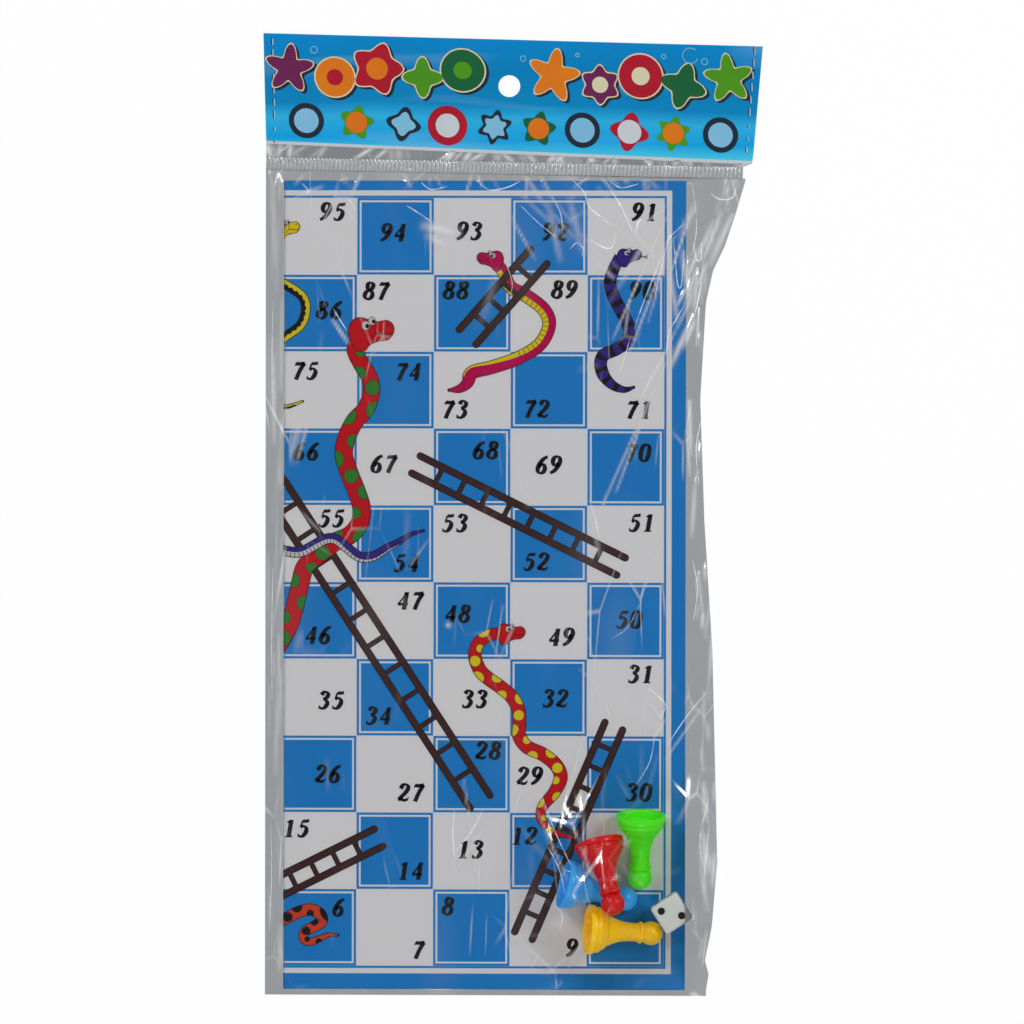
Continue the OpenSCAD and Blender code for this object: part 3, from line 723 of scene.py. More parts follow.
@dataclass
class Board:
    """The folded board: its print, its fold and the finishes of its card and paper."""

    cell: float = 24.5
    hinge_x: float = -63.438
    fold_z: float = 0.965
    fold_r: float = 0.725
    fold_take: float = 1.799
    fold_from_deg: float = 94.0
    paper: float = 0.1
    field_y: float = -121.5
    high_y: float = 129.0
    front_z: float = 1.72
    back_z: float = 0.21
    front_step: float = 0.008
    back_step: float = 0.0038
    fold_step: float = 0.003
    fold_strips: int = 16
    outline: float = 0.26
    ladders: tuple[Ladder, ...] = (
        Ladder((7.44, 8.19), (8.36, 9.24), .29, 4, 6.0), Ladder((6.77, 6.53), (9.44, 5.21), .25, 8),
        Ladder((7.61, 2.14), (4.2, 7.35), .31, 14), Ladder((6.29, 1.67), (3.5, .28), .25, 9),
        Ladder((9.35, 3.13), (8.18, .4), .25, 9), Ladder((.5, .5), (.9, 3.4), .25, 10),
        Ladder((2.6, 3.5), (1.4, 6.2), .25, 10), Ladder((.4, 6.6), (1.5, 8.6), .25, 8))
    snakes: tuple[Snake, ...] = (
        Snake(((7.76, 9.2), (7.9, 9.04), (8, 8.84), (8.2, 8.73), (8.43, 8.55), (8.5, 8.35), (8.38, 8.1), (8.1, 7.92),
               (7.76, 7.8), (7.5, 7.73), (7.44, 7.6), (7.34, 7.52), (7.2, 7.5)), 3.9, Ink.MAGENTA, Ink.YELLOW,
              Pattern.BELLY, -1, ((7.78, 9.2), 180, 9.4), False, 0.12),
        Snake(((9.42, 9.24), (9.34, 9.08), (9.29, 8.9), (9.34, 8.72), (9.44, 8.53), (9.53, 8.34), (9.52, 8.16),
               (9.38, 8.04), (9.21, 7.96), (9.17, 7.83), (9.22, 7.68), (9.34, 7.56), (9.48, 7.51), (9.6, 7.54)),
              3.6, Ink.PURPLE, Ink.BLACK, Pattern.BANDS, 1, ((9.5, 9.24), 4, 8.6), True, 0.22),
        Snake(((6.06, 8.2), (5.97, 8.04), (6.05, 7.85), (6.16, 7.67), (6.19, 7.49), (6.12, 7.26), (5.97, 7.09),
               (5.86, 6.86), (5.83, 6.65), (5.9, 6.42), (6, 6.17), (6.06, 5.97), (6.04, 5.77), (5.91, 5.61),
               (5.72, 5.52), (5.5, 5.35), (5.33, 5.2), (5.26, 4.96), (5.18, 4.62), (5.09, 4.37), (4.9, 4.1),
               (4.5, 3.85), (4.1, 3.4), (4.1, 3), (4.3, 2.6)), 5.4, Ink.RED, Ink.GREEN, Pattern.SPOTS, 1,
              ((6.1, 8.25), 0, 16.5)),
        Snake(((7.86, 4.33), (7.72, 4.31), (7.58, 4.2), (7.54, 4.04), (7.61, 3.85), (7.74, 3.73), (7.87, 3.64),
               (8.02, 3.51), (8.11, 3.34), (8.12, 3.14), (8.12, 3.0), (8.22, 2.86), (8.43, 2.76), (8.6, 2.62),
               (8.66, 2.46), (8.58, 2.27), (8.44, 2.1), (8.4, 1.95), (8.49, 1.81), (8.62, 1.73), (8.85, 1.67)),
              4.0, Ink.RED, Ink.YELLOW, Pattern.SPOTS, -1, ((7.96, 4.34), -4, 10.0)),
        Snake(((3.6, 6.3), (4.1, 6.0), (4.6, 5.55), (5.05, 5.41), (5.26, 5.39), (5.43, 5.47), (5.6, 5.56),
               (5.74, 5.55), (5.88, 5.44), (6.04, 5.33), (6.22, 5.34), (6.4, 5.45), (6.54, 5.52), (6.7, 5.62),
               (6.87, 5.67)), 2.9, Ink.PURPLE, Ink.WHITE, Pattern.TICKS, -1, ((3.5, 6.36), 150, 8.0), False, 0.22, 5.0),
        Snake(((4.95, 9.55), (4.75, 9.3), (4.8, 9.02), (5.05, 8.88), (5.28, 8.72), (5.33, 8.54), (5.26, 8.34),
               (5.05, 8.18), (4.8, 7.95), (4.68, 7.6), (4.82, 7.36), (5.06, 7.28), (5.29, 7.35)), 2.6, Ink.YELLOW,
              Ink.BLACK, Pattern.SCALLOPS, -1, ((5.04, 9.6), 0, 9.0)),
        Snake(((4.2, 1.2), (4.45, .8), (4.75, .52), (5.05, .6), (5.23, .69), (5.39, .73), (5.52, .68), (5.55, .58),
               (5.45, .51), (5.34, .45), (5.31, .36), (5.39, .31), (5.52, .35), (5.64, .4), (5.76, .4)), 3.4,
              Ink.ORANGE, Ink.BLACK, Pattern.SPOTS, 1, ((4.12, 1.28), 140, 8.0)),
        Snake(((2.3, 9.5), (2.0, 8.9), (2.6, 8.4), (2.1, 7.8), (2.7, 7.2), (2.5, 6.6), (3.0, 6.1)), 5.2,
              Ink.GREEN, Ink.YELLOW, Pattern.SPOTS, 1, ((2.36, 9.56), 30, 12.0)),
        Snake(((3.4, 2.6), (3.0, 2.2), (2.6, 1.6), (2.1, 1.7), (1.7, 1.1), (1.3, .6)), 3.6, Ink.PURPLE,
              Ink.BLACK, Pattern.BANDS, 1, ((3.46, 2.64), 30, 8.0)),
        Snake(((1.2, 5.6), (.7, 5.2), (1.2, 4.7), (.7, 4.2), (1.0, 3.7)), 3.6, Ink.MAGENTA, Ink.YELLOW,
              Pattern.BELLY, 1, ((1.26, 5.64), 10, 8.0)))
    number_places: ClassVar[dict[int, Point]] = {
        95: (5.68, 9.82), 94: (6.47, 9.55), 93: (7.46, 9.57), 92: (8.58, 9.56), 91: (9.74, 9.82), 86: (5.64, 8.54),
        87: (6.25, 8.79), 88: (7.29, 8.8), 89: (8.7, 8.81), 90: (9.71, 8.8), 75: (5.33, 7.75), 74: (6.67, 7.74),
        73: (7.28, 7.25), 72: (8.34, 7.26), 71: (9.67, 7.25), 66: (5.34, 6.7), 67: (6.35, 6.54), 68: (7.68, 6.72),
        69: (8.5, 6.53), 70: (9.66, 6.69), 55: (5.67, 5.83), 54: (6.65, 5.25), 53: (7.28, 5.77), 52: (8.34, 5.27),
        51: (9.71, 5.78), 46: (5.5, 4.31), 47: (6.7, 4.76), 48: (7.32, 4.59), 49: (8.67, 4.29), 50: (9.55, 4.52),
        35: (5.67, 3.46), 34: (6.29, 3.26), 33: (7.54, 3.48), 32: (8.59, 3.49), 31: (9.7, 3.81), 26: (5.63, 2.5),
        27: (6.71, 2.26), 28: (7.72, 2.81), 29: (8.26, 2.48), 30: (9.68, 2.27), 15: (5.22, 1.79), 14: (6.71, 1.24),
        13: (7.49, 1.52), 12: (8.19, 1.7), 11: (9.2, 1.39), 6: (5.77, .76), 7: (6.81, .21), 8: (7.2, .78),
        9: (8.81, .24), 10: (9.42, .46)}

    def __post_init__(self) -> None:
        """Starts the three drafts that the print is split into."""
        self.arc = math.pi * self.fold_r
        self.inks = list(Ink)
        self.parts = {zone: Draft(f"{zone}_print", [ink.value for ink in self.inks])
                      for zone in ("front", "fold", "back")}

    def place(self, p: Point) -> Point:
        """Gives a point of the unrolled sheet from a column and a row."""
        return (self.hinge_x - self.fold_take + (p[0] - 5) * self.cell, self.field_y + p[1] * self.cell)

    def print_shape(self, polygon: list[Point], ink: Ink, layer: float) -> None:
        """Prints a polygon of the unrolled sheet on the front, round the fold and on the back.

        Args:
            polygon: Corners on the unrolled sheet, in millimetres.
            ink: The ink.
            layer: How many ink steps it lies above the blue squares.
        """
        polygon = [(float(x), float(y)) for x, y in polygon]
        if sum(p[0] * q[1] - q[0] * p[1] for p, q in zip(polygon, polygon[1:] + polygon[:1])) < 0:
            polygon = polygon[::-1]
        slot = self.inks.index(ink)
        end = self.hinge_x - self.arc
        ahead, behind = cut(polygon, self.hinge_x, True), cut(polygon, end, False)
        if len(ahead) > 2:
            self.parts["front"].polygon([(x, y, self.front_z + layer * self.front_step) for x, y in ahead], slot)
        if len(behind) > 2:
            turned = [(2 * self.hinge_x - self.arc - x, y, self.back_z - layer * self.back_step) for x, y in behind]
            self.parts["back"].polygon(turned, slot)
        if min(x for x, _ in polygon) > self.hinge_x or max(x for x, _ in polygon) < end:
            return
        for k in range(self.fold_strips):
            near, far = (self.hinge_x - self.arc * s / self.fold_strips for s in (k, k + 1))
            piece = cut(cut(polygon, near, False), far, True)
            if len(piece) > 2:
                lift = 0.012 + layer * self.fold_step
                self.parts["fold"].polygon([self.round_fold(x, y, lift) for x, y in piece], slot)

    def round_fold(self, x: float, y: float, lift: float) -> Space:
        """Wraps a point of the unrolled sheet round the fold.

        Args:
            x: The point's x on the sheet.
            y: The point's y.
            lift: Its height above the paper.

        Returns:
            The point in the frame.
        """
        angle = math.radians(self.fold_from_deg) + (self.hinge_x - x) / self.fold_r * 176 / 180
        r = self.fold_r + lift
        return (self.hinge_x + r * math.cos(angle), y, self.fold_z + r * math.sin(angle))

    def strip(self, line: np.ndarray, low: np.ndarray, high: np.ndarray, ink: Ink, layer: float) -> None:
        """Prints the band between two offsets from a line.

        Args:
            line: Points along the line.
            low: Offset of one edge at each point.
            high: Offset of the other edge.
            ink: The ink.
            layer: The ink step.
        """
        side = sides(line)[1]
        for quad in quads(line + side * low[:, None], line + side * high[:, None]):
            self.print_shape(quad, ink, layer)

    def stroke(self, points: list[Point], steps: int, half: float, ink: Ink, layer: float) -> None:
        """Prints a smooth line of even width through points."""
        line = smooth_line(points, steps)
        self.strip(line, np.full(len(line), -half), np.full(len(line), half), ink, layer)

    def disc(self, centre: np.ndarray, r: float, ink: Ink, layer: float, squash: float = 1.0, turn: float = 0) -> None:
        """Prints a round or oval spot.

        Args:
            centre: Its middle.
            r: Its radius.
            ink: The ink.
            layer: The ink step.
            squash: Its second radius, as a share of the first.
            turn: How far it is turned, in radians.
        """
        c, s = math.cos(turn), math.sin(turn)
        rim = [(r * math.cos(t), r * squash * math.sin(t)) for t in np.linspace(0, FULL_TURN, 29)[:-1]]
        self.print_shape([(centre[0] + a * c - b * s, centre[1] + a * s + b * c) for a, b in rim], ink, layer)

    def print_ladder(self, ladder: Ladder, order: int) -> None:
        """Prints a ladder with round rail ends, thin outlines and plain rungs.

        Args:
            ladder: The ladder.
            order: Which ladder it is, so that crossing ones lie at different heights.
        """
        a, b = np.array(self.place(ladder.start)), np.array(self.place(ladder.end))
        way = (b - a) / np.linalg.norm(b - a)
        left = np.array([-way[1], way[0]])
        side = left * ladder.gauge * self.cell / 2
        base = 0.25 + order * 0.1 + ladder.level
        for ink, grow, layer in ((Ink.BLACK, 0.55, base), (Ink.BROWN, 0.0, base + 1.0)):
            rung, rail = (1.15 + grow) / 2, (1.85 + grow) / 2
            for k in range(ladder.rungs):
                at = a + (b - a) * (k + 1) / (ladder.rungs + 1)
                low, high = at - side, at + side
                across = (high - low) / np.linalg.norm(high - low)
                up = np.array([-across[1], across[0]]) * rung
                self.print_shape([low - up, high - up, high + up, low + up], ink, layer)
            for turn in (-1, 1):
                ends = []
                for tip, sign in ((b + side * turn, 1), (a + side * turn, -1)):
                    ends += [tip + (way * math.cos(t) + left * math.sin(t)) * rail * sign
                             for t in np.linspace(-math.pi / 2, math.pi / 2, 13)]
                self.print_shape(ends, ink, layer + 0.06)

    def print_snake(self, snake: Snake, order: int) -> None:
        """Prints a snake's body, its marks and its head.

        Args:
            snake: The snake.
            order: Which snake it is, so that crossing ones lie at different heights.
        """
        line = smooth_line([self.place(p) for p in snake.line], 14)
        run = np.concatenate([[0], np.cumsum(np.linalg.norm(np.diff(line, axis=0), axis=1))])
        total = run[-1]
        ends = np.minimum(1, np.maximum(0.04, (total - run) / (snake.taper * total))) ** 0.6
        half = snake.width / 2 * ends * (0.86 + 0.14 * np.minimum(1, run / (0.2 * total)))
        base = 2.0 + order * 0.12 + snake.level
        marks, lines = base + 2, base + 2.6
        self.strip(line, -half - self.outline, half + self.outline, Ink.BLACK, base)
        self.disc(line[-1], half[-1] + 0.3, Ink.BLACK, base)
        self.strip(line, -half, half, snake.skin, base + 1)
        way = sides(line)[0]

        def skin(s: float, v: float) -> Point:
            """Gives a point of the sheet from a run along the snake and a share of its half width.

            Args:
                s: The run from the head.
                v: The share, from -1 to 1.

            Returns:
                The point.
            """
            x, y, dx, dy = (np.interp(s, run, row) for row in (*line.T, *way.T))
            w = np.interp(s, run, half) * max(-1.0, min(1.0, v))
            size = math.hypot(dx, dy) or 1.0
            return (x - dy / size * w, y + dx / size * w)

        def belly(low: float, high: float, start: float, stop: float, wave: float = 0) -> None:
            """Prints a strip of skin between two shares of the half width, straight or with a wavy edge.

            Args:
                low: One share.
                high: The other share.
                start: Where it starts, as a share of the length.
                stop: Where it stops.
                wave: How high the waves of the edge are, or 0 for a straight edge.
            """
            steps = np.linspace(start * total, stop * total, 120)
            lows = low + (0 if wave else (high - low) * 0.8) * np.clip((steps / total - 0.58) / 0.3, 0, 1)
            highs = high + wave * np.abs(np.sin(math.pi * steps / 2.0))
            for quad in quads([skin(s, v) for s, v in zip(steps, lows)], [skin(s, v) for s, v in zip(steps, highs)]):
                self.print_shape(quad, snake.marks, marks)

        def ticks(start: float, stop: float, step: float, width: float) -> None:
            """Prints lines across the belly.

            Args:
                start: Where they start, as a share of the length.
                stop: Where they stop.
                step: The distance between them.
                width: Their width.
            """
            for s in np.arange(start * total, stop * total, step):
                low, high = 0.1 * snake.side, snake.side
                self.print_shape([skin(s, low), skin(s + width, low), skin(s + width, high), skin(s, high)],
                                 Ink.BLACK, lines)

        def ring(s: float, v: float, size: float, ink: Ink, layer: float) -> None:
            """Prints a spot that the body's edge cuts off.

            Args:
                s: The run from the head.
                v: The share of the half width.
                size: The radius.
                ink: The ink.
                layer: The ink step.
            """
            width = max(0.4, float(np.interp(s, run, half)))
            self.print_shape([skin(s + size * math.cos(t), v + size / width * math.sin(t))
                              for t in np.linspace(0, FULL_TURN, 25)[:-1]], ink, layer)

        if snake.pattern is Pattern.SPOTS:
            for k, s in enumerate(np.arange(snake.width * 1.1, total * 0.95, snake.width * 1.15)):
                across = (0.95, -0.95, 0.1, 0.9, -0.95)[k % 5] * snake.side
                size = snake.width * 0.42 * float(np.interp(s, run, ends)) ** 0.6
                ring(s, across, size + 0.14, Ink.BLACK, marks)
                ring(s, across, size, snake.marks, lines)
        elif snake.pattern is Pattern.BANDS:
            shares = np.linspace(-1, 1, 7)
            for s in np.arange(snake.width * 1.1, total * 0.95, snake.width * 1.05):
                ahead = [skin(s + 0.5 * snake.width * (0.9 - 0.12 * v * v), v) for v in shares]
                back = [skin(s - 0.06 * snake.width * v * v, v) for v in shares[::-1]]
                self.print_shape(ahead + back, snake.marks, marks)
        elif snake.pattern is Pattern.BELLY:
            belly(0.1 * snake.side, snake.side, 0.06, 0.88)
            ticks(0.08, 0.62, 1.7, 0.2)
        elif snake.pattern is Pattern.SCALLOPS:
            belly(-1.0, -0.35, 0.0, 0.97, 0.55)
        else:
            belly(0.0, snake.side, 0.04, 0.9)
            ticks(0.05, 0.9, 1.25, 0.22)
        self.print_head(snake, base + 3)

    def print_head(self, snake: Snake, layer: float) -> None:
        """Prints a simple rounded head with two eyes, a mouth line and, on one snake, a tongue.

        Args:
            snake: The snake.
            layer: The ink step.
        """
        spot, facing, size = snake.head
        centre = np.array(self.place(spot))
        turn = math.radians(facing)
        flip = -1 if 90 < facing < 270 else 1
        along, up = np.array([math.cos(turn), math.sin(turn)]), np.array([-math.sin(turn), math.cos(turn)]) * flip
        outline = [(-.24, -.22), (-.31, .0), (-.25, .2), (-.1, .28), (.1, .23), (.24, .2), (.42, .23), (.54, .14),
                   (.55, .0), (.44, -.14), (.24, -.17), (.1, -.24), (.02, -.34), (-.14, -.36)]
        shape = smooth_line(outline, 6, True)
        away = shape - shape.mean(0)
        away /= np.linalg.norm(away, axis=1)[:, None]
        for grow, ink, lift in ((0.28, Ink.BLACK, 0.0), (0.0, snake.skin, 0.9)):
            self.print_shape([centre + along * p[0] + up * p[1] for p in shape * size + away * grow], ink, layer + lift)

        def local(x: float, y: float) -> np.ndarray:
            """Gives a point of the head."""
            return centre + along * x * size + up * y * size

        lines, cheek = layer + 1.7, Ink.DEEP_RED if snake.skin is Ink.RED else Ink.BLACK
        self.stroke([local(.53, -.03), local(.36, -.04), local(.2, -.02)], 6, max(0.09, 0.012 * size), Ink.BLACK, lines)
        self.stroke([local(.16, .14), local(.2, 0), local(.1, -.16)], 6, max(0.07, 0.008 * size), cheek, lines)
        for x, y, r in ((.02, .13, .075), (.14, .22, .066)):
            self.disc(local(x, y), r * size + 0.12, Ink.BLACK, layer + 1.8, 1.15, turn)
            self.disc(local(x, y), r * size - 0.02, Ink.WHITE, layer + 2.4, 1.15, turn)
            self.disc(local(x + .03, y - .01), r * size * 0.5, Ink.BLACK, layer + 3.0, 1.2, turn)
        self.disc(local(.45, .14), 0.02 * size, Ink.BLACK, layer + 1.8)
        if snake.tongue:
            for sway in (-.07, .05):
                self.stroke([local(.56, -.04), local(.68, -.06), local(.8, -.06 + sway)], 5, 0.14, Ink.DEEP_RED, layer)

    def print_fold_squares(self) -> None:
        """Prints the blue squares, lines and borders where they run round the fold."""
        left, right = self.hinge_x - self.arc, self.hinge_x - 1e-4

        def bar(x0: float, x1: float, y0: float, y1: float, ink: Ink = Ink.BLUE, layer: float = 0) -> None:
            """Prints an upright rectangle, kept on the fold.

            Args:
                x0: The left side.
                x1: The right side.
                y0: The low side.
                y1: The high side.
                ink: The ink.
                layer: The ink step.
            """
            a, b = max(x0, left), min(x1, right)
            if b > a:
                self.print_shape([(a, y0), (b, y0), (b, y1), (a, y1)], ink, layer)

        field_top = self.field_y + 10 * self.cell
        for low, high in ((-self.high_y, -self.high_y + 5.1), (self.high_y - 3.1, self.high_y),
                          (self.field_y - .7, self.field_y), (field_top, field_top + .7)):
            bar(left, right, low, high)
        for column in (4, 5):
            for row in range(10):
                if (column + row) % 2:
                    x, y = self.place((column, row))
                    for inset, ink, layer in ((.06, Ink.BLUE, 0), (.8, Ink.PALE, 0.3), (1.4, Ink.BLUE, 0.6)):
                        bar(x + inset, x + self.cell - inset, y + inset, y + self.cell - inset, ink, layer)

    def fold_paper(self) -> bpy.types.Object:
        """Builds the paper that runs round the fold, as a thin closed arc.

        Returns:
            The paper's object.
        """
        piece = Draft("fold_paper", [Finish.PAPER])
        turn = np.radians(np.linspace(self.fold_from_deg, 270, 41))
        outer, inner = (np.stack([self.hinge_x + r * np.cos(turn), self.fold_z + r * np.sin(turn)], 1)
                        for r in (self.fold_r, self.fold_r - self.paper))
        ring = np.concatenate([outer, inner[::-1], outer[:1]])
        piece.grid(np.array([[(x, y, z) for x, z in ring] for y in np.linspace(-self.high_y, self.high_y, 9)]),
                   0, flip=True)
        for y, side in ((-self.high_y, 1), (self.high_y, -1)):
            piece.polygon([(x, y, z) for x, z in ring[:-1]][::side], 0)
        return piece.build(40)

    def build(self) -> None:
        """Prints everything and dresses the card, the paper and the blue ink."""
        digits = Digits()
        for row in range(10):
            for column in range(10):
                number = 10 * row + column + 1 if row % 2 == 0 else 10 * row + 10 - column
                usual = (column + (.3, .7, .55)[(row + column) % 3], row + (.74, .28, .5)[(row * 2 + column) % 3])
                for quad in digits.strips(str(number), self.place(self.number_places.get(number, usual))):
                    self.print_shape(quad, Ink.BLACK, 0.12)
        for order, ladder in enumerate(self.ladders):
            self.print_ladder(ladder, order % 5)
        for order, snake in enumerate(self.snakes):
            self.print_snake(snake, order % 7)
        self.print_fold_squares()
        front, fold, back = (self.parts[zone].build() for zone in ("front", "fold", "back"))
        paper = self.fold_paper()
        for piece, body, slot in ((front, "front_half", "red_print"), (fold, "back_half", "blue_print"),
                                  (back, "back_half", "red_print"), (paper, "back_half", "coated_paper")):
            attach(piece, body)
        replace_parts(front, "front_ladder_ink", "front_snake_ink")
        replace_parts(back, "back_ladder_ink", "back_snake_ink")
        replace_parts(paper, "spine_paper")
        for half in ("front", "back"):
            for layer, finish in (("card", Finish.CARD), ("print_sheet", Finish.PAPER), ("blue_ink", Ink.BLUE.value)):
                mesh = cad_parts[f"{half}_{layer}"].data
                mesh.materials.clear()
                mesh.materials.append(finish.material())


# ---- the loose pieces --------------------------------------------------------------------------


@dataclass(frozen=True)
class Pawn:
    """One hollow pawn: where its ball lies, and the way its axis points."""

    name: str
    finish: Solid
    ball: Space
    turn_deg: float
    tilt_deg: float
    ball_h: float = 20.7
    ball_r: float = 3.8

    def axis(self) -> np.ndarray:
        """Gives the direction from the foot to the ball."""
        turn, tilt = math.radians(self.turn_deg), math.radians(self.tilt_deg)
        return np.array([math.cos(turn) * math.cos(tilt), math.sin(turn) * math.cos(tilt), -math.sin(tilt)])

    def foot(self) -> np.ndarray:
        """Gives the middle of the foot."""
        return np.array(self.ball) - self.axis() * self.ball_h

    @staticmethod
    def flared(heights: np.ndarray, grow: float = 0.0) -> list[Point]:
        """Gives the radius and height of the flared body at some heights."""
        return [(2.95 + 4.35 * min(1.0, max(0.0, 1 - (h - 3.185) / 10.78)) ** 1.9 + grow, h) for h in heights]

    def outline(self) -> np.ndarray:
        """Gives the radius and height of the pawn's outside, then its hollow.

        Returns:
            One point in each row.
        """
        out = [(6.95, .06), (7.1, 0), (7.6, 0), (7.8, .1), (7.9, .32), (7.9, 1.7), (7.82, 1.95), (7.58, 2.06),
               (7.36, 2.14), (7.3, 2.3), (7.36, 2.5), (7.36, 2.9), (7.28, 3.15)]
        out += self.flared(np.linspace(3.5, 5.7, 6), 0.3) + self.flared([5.9], 0.12)
        out += self.flared(np.linspace(6.0, 12.3, 12))
        for h, lift, grow in ((12.4, .02, .06), (12.7, 0, .14), (13, -.02, .06)):
            out += [(r, h + lift) for r, _ in self.flared([h], grow)]
        out += self.flared([13.1, 13.6, 14.2])
        out += [(2.95, 15.2), (2.95, 16.3), (3.0, 16.52), (3.25, 16.6), (3.42, 16.74), (3.5, 16.95), (3.5, 17.45),
                (3.42, 17.66), (3.2, 17.78), (2.9, 17.84), (2.66, 17.98)]
        out += [(max(0.0005, self.ball_r * math.cos(t)), self.ball_h + self.ball_r * math.sin(t))
                for t in np.radians(np.linspace(-44, 90, 20))]
        inner = [(0.0005, 12.9), (1.2, 12.7), (1.75, 12.2), *self.flared(np.linspace(11.6, 3.2, 12), -1),
                 (6.36, 2.2), (6.6, .8), (6.8, .2)]
        return np.array(out[::-1] + [(6.95, .06)] + inner[::-1])

    def lathe(self, line: np.ndarray, spans: int) -> np.ndarray:
        """Turns an outline round the pawn's axis.

        Args:
            line: Radius and height of each point.
            spans: Points round the axis.

        Returns:
            Rows by spans by three coordinates.
        """
        d = self.axis()
        u = np.cross(d, [0, 0, 1])
        u /= np.linalg.norm(u)
        t = np.linspace(0, FULL_TURN, spans, endpoint=False)
        round_axis = np.cos(t)[:, None] * u + np.sin(t)[:, None] * np.cross(d, u)
        return self.foot() + line[:, 1][:, None, None] * d + line[:, 0][:, None, None] * round_axis

    def build(self) -> None:
        """Builds the pawn and puts it on its body."""
        piece = Draft(self.name + "_moulded", [self.finish])
        piece.grid(self.lathe(self.outline(), 96), 0, closed=True)
        made = piece.build(38)
        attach(made, self.name)
        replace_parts(made, self.name)


@dataclass(frozen=True)
class Die:
    """The small die, with soft edges and dished pips."""

    centre: Space = (59.943, -103.906, 6.83)
    turn_deg: float = 33.0
    half: float = 5.0
    edge_r: float = 1.05
    pip_r: float = 1.2
    pip_depth: float = 0.26
    spread: float = 2.35

    def faces(self) -> list[tuple[np.ndarray, np.ndarray, np.ndarray, list[Point]]]:
        """Gives each face's outward, first and second directions and its pips.

        Returns:
            Three directions and the pips' places for each face.
        """
        x, y, z = np.eye(3)
        four = [(1, 1), (1, -1), (-1, 1), (-1, -1)]
        six = [(1, 1), (1, 0), (1, -1), (-1, 1), (-1, 0), (-1, -1)]
        return [(z, x, y, [(1, -1), (-1, 1)]), (-z, x, -y, [*four, (0, 0)]), (x, y, z, [(0, 0)]), (-x, y, -z, six),
                (-y, x, z, [(1, 1), (0, 0), (-1, -1)]), (y, -x, z, four)]

    def world(self, points: np.ndarray) -> np.ndarray:
        """Turns the die's own points into the frame.

        Args:
            points: Points from the die's middle.

        Returns:
            The points in the frame.
        """
        c, s = math.cos(math.radians(self.turn_deg)), math.sin(math.radians(self.turn_deg))
        return (points.reshape(-1, 3) @ np.array([[c, s, 0], [-s, c, 0], [0, 0, 1]])).reshape(points.shape) \
            + np.array(self.centre)

    def build(self) -> None:
        """Builds the body and the pips."""
        core = self.half - self.edge_r
        rim = core + self.edge_r * np.tan(np.radians(np.linspace(0, 45, 7)))[1:]
        line = np.concatenate([-rim[::-1], np.linspace(-core, core, 44), rim])
        a, b = np.meshgrid(line, line, indexing="ij")
        r = np.linspace(0.0001, self.pip_r * 0.98, 7)[:, None]
        t = np.linspace(0, FULL_TURN, 40, endpoint=False)[None, :]
        deep = self.half - self.pip_depth * (1 - (r / self.pip_r) ** 2) + 0.02 + 0 * t
        body, pips = Draft("die_body", [Finish.DIE]), Draft("die_dots", [Finish.PIP])
        for out, first, second, spots in self.faces():
            p = out * self.half + a[..., None] * first + b[..., None] * second
            q = np.clip(p, -core, core)
            p = q + (p - q) / np.linalg.norm(p - q, axis=-1, keepdims=True) * self.edge_r
            for s in spots:
                u, v = s[0] * self.spread, s[1] * self.spread
                far = np.hypot(a - u, b - v) / self.pip_r
                p = p - out * (self.pip_depth * np.maximum(0, 1 - far ** 2))[..., None]
                dish = out * deep[..., None] + first * (u + r * np.cos(t))[..., None] \
                    + second * (v + r * np.sin(t))[..., None]
                pips.grid(self.world(dish), 0, closed=True)
            body.grid(self.world(p), 0)
        for piece, node, slot in ((body.build(50), "die", "white_plastic"),
                                  (pips.build(60), "die_pips", "black_paint")):
            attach(piece, "die")
            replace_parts(piece, node)


PAWNS = (Pawn("yellow_pawn", Finish.YELLOW_PLASTIC, (53.316, -110.593, 5.63), -4.2, 12.12),
         Pawn("green_pawn", Finish.GREEN_PLASTIC, (49.816, -92.897, 5.63), -91, 12.12),
         Pawn("blue_pawn", Finish.BLUE_PLASTIC, (45.179, -99.691, 5.63), -14.5, 12.12),
         Pawn("red_pawn", Finish.RED_PLASTIC, (41.308, -100.639, 14.25), -76.6, -13.21))


# ---- the bag and its header --------------------------------------------------------------------


@dataclass(frozen=True)
class Crease:
    """One crease of the film: its ends, its height, its half width and how strongly its painted highlight gleams."""

    start: Point
    end: Point
    height: float
    width: float
    gleam: float


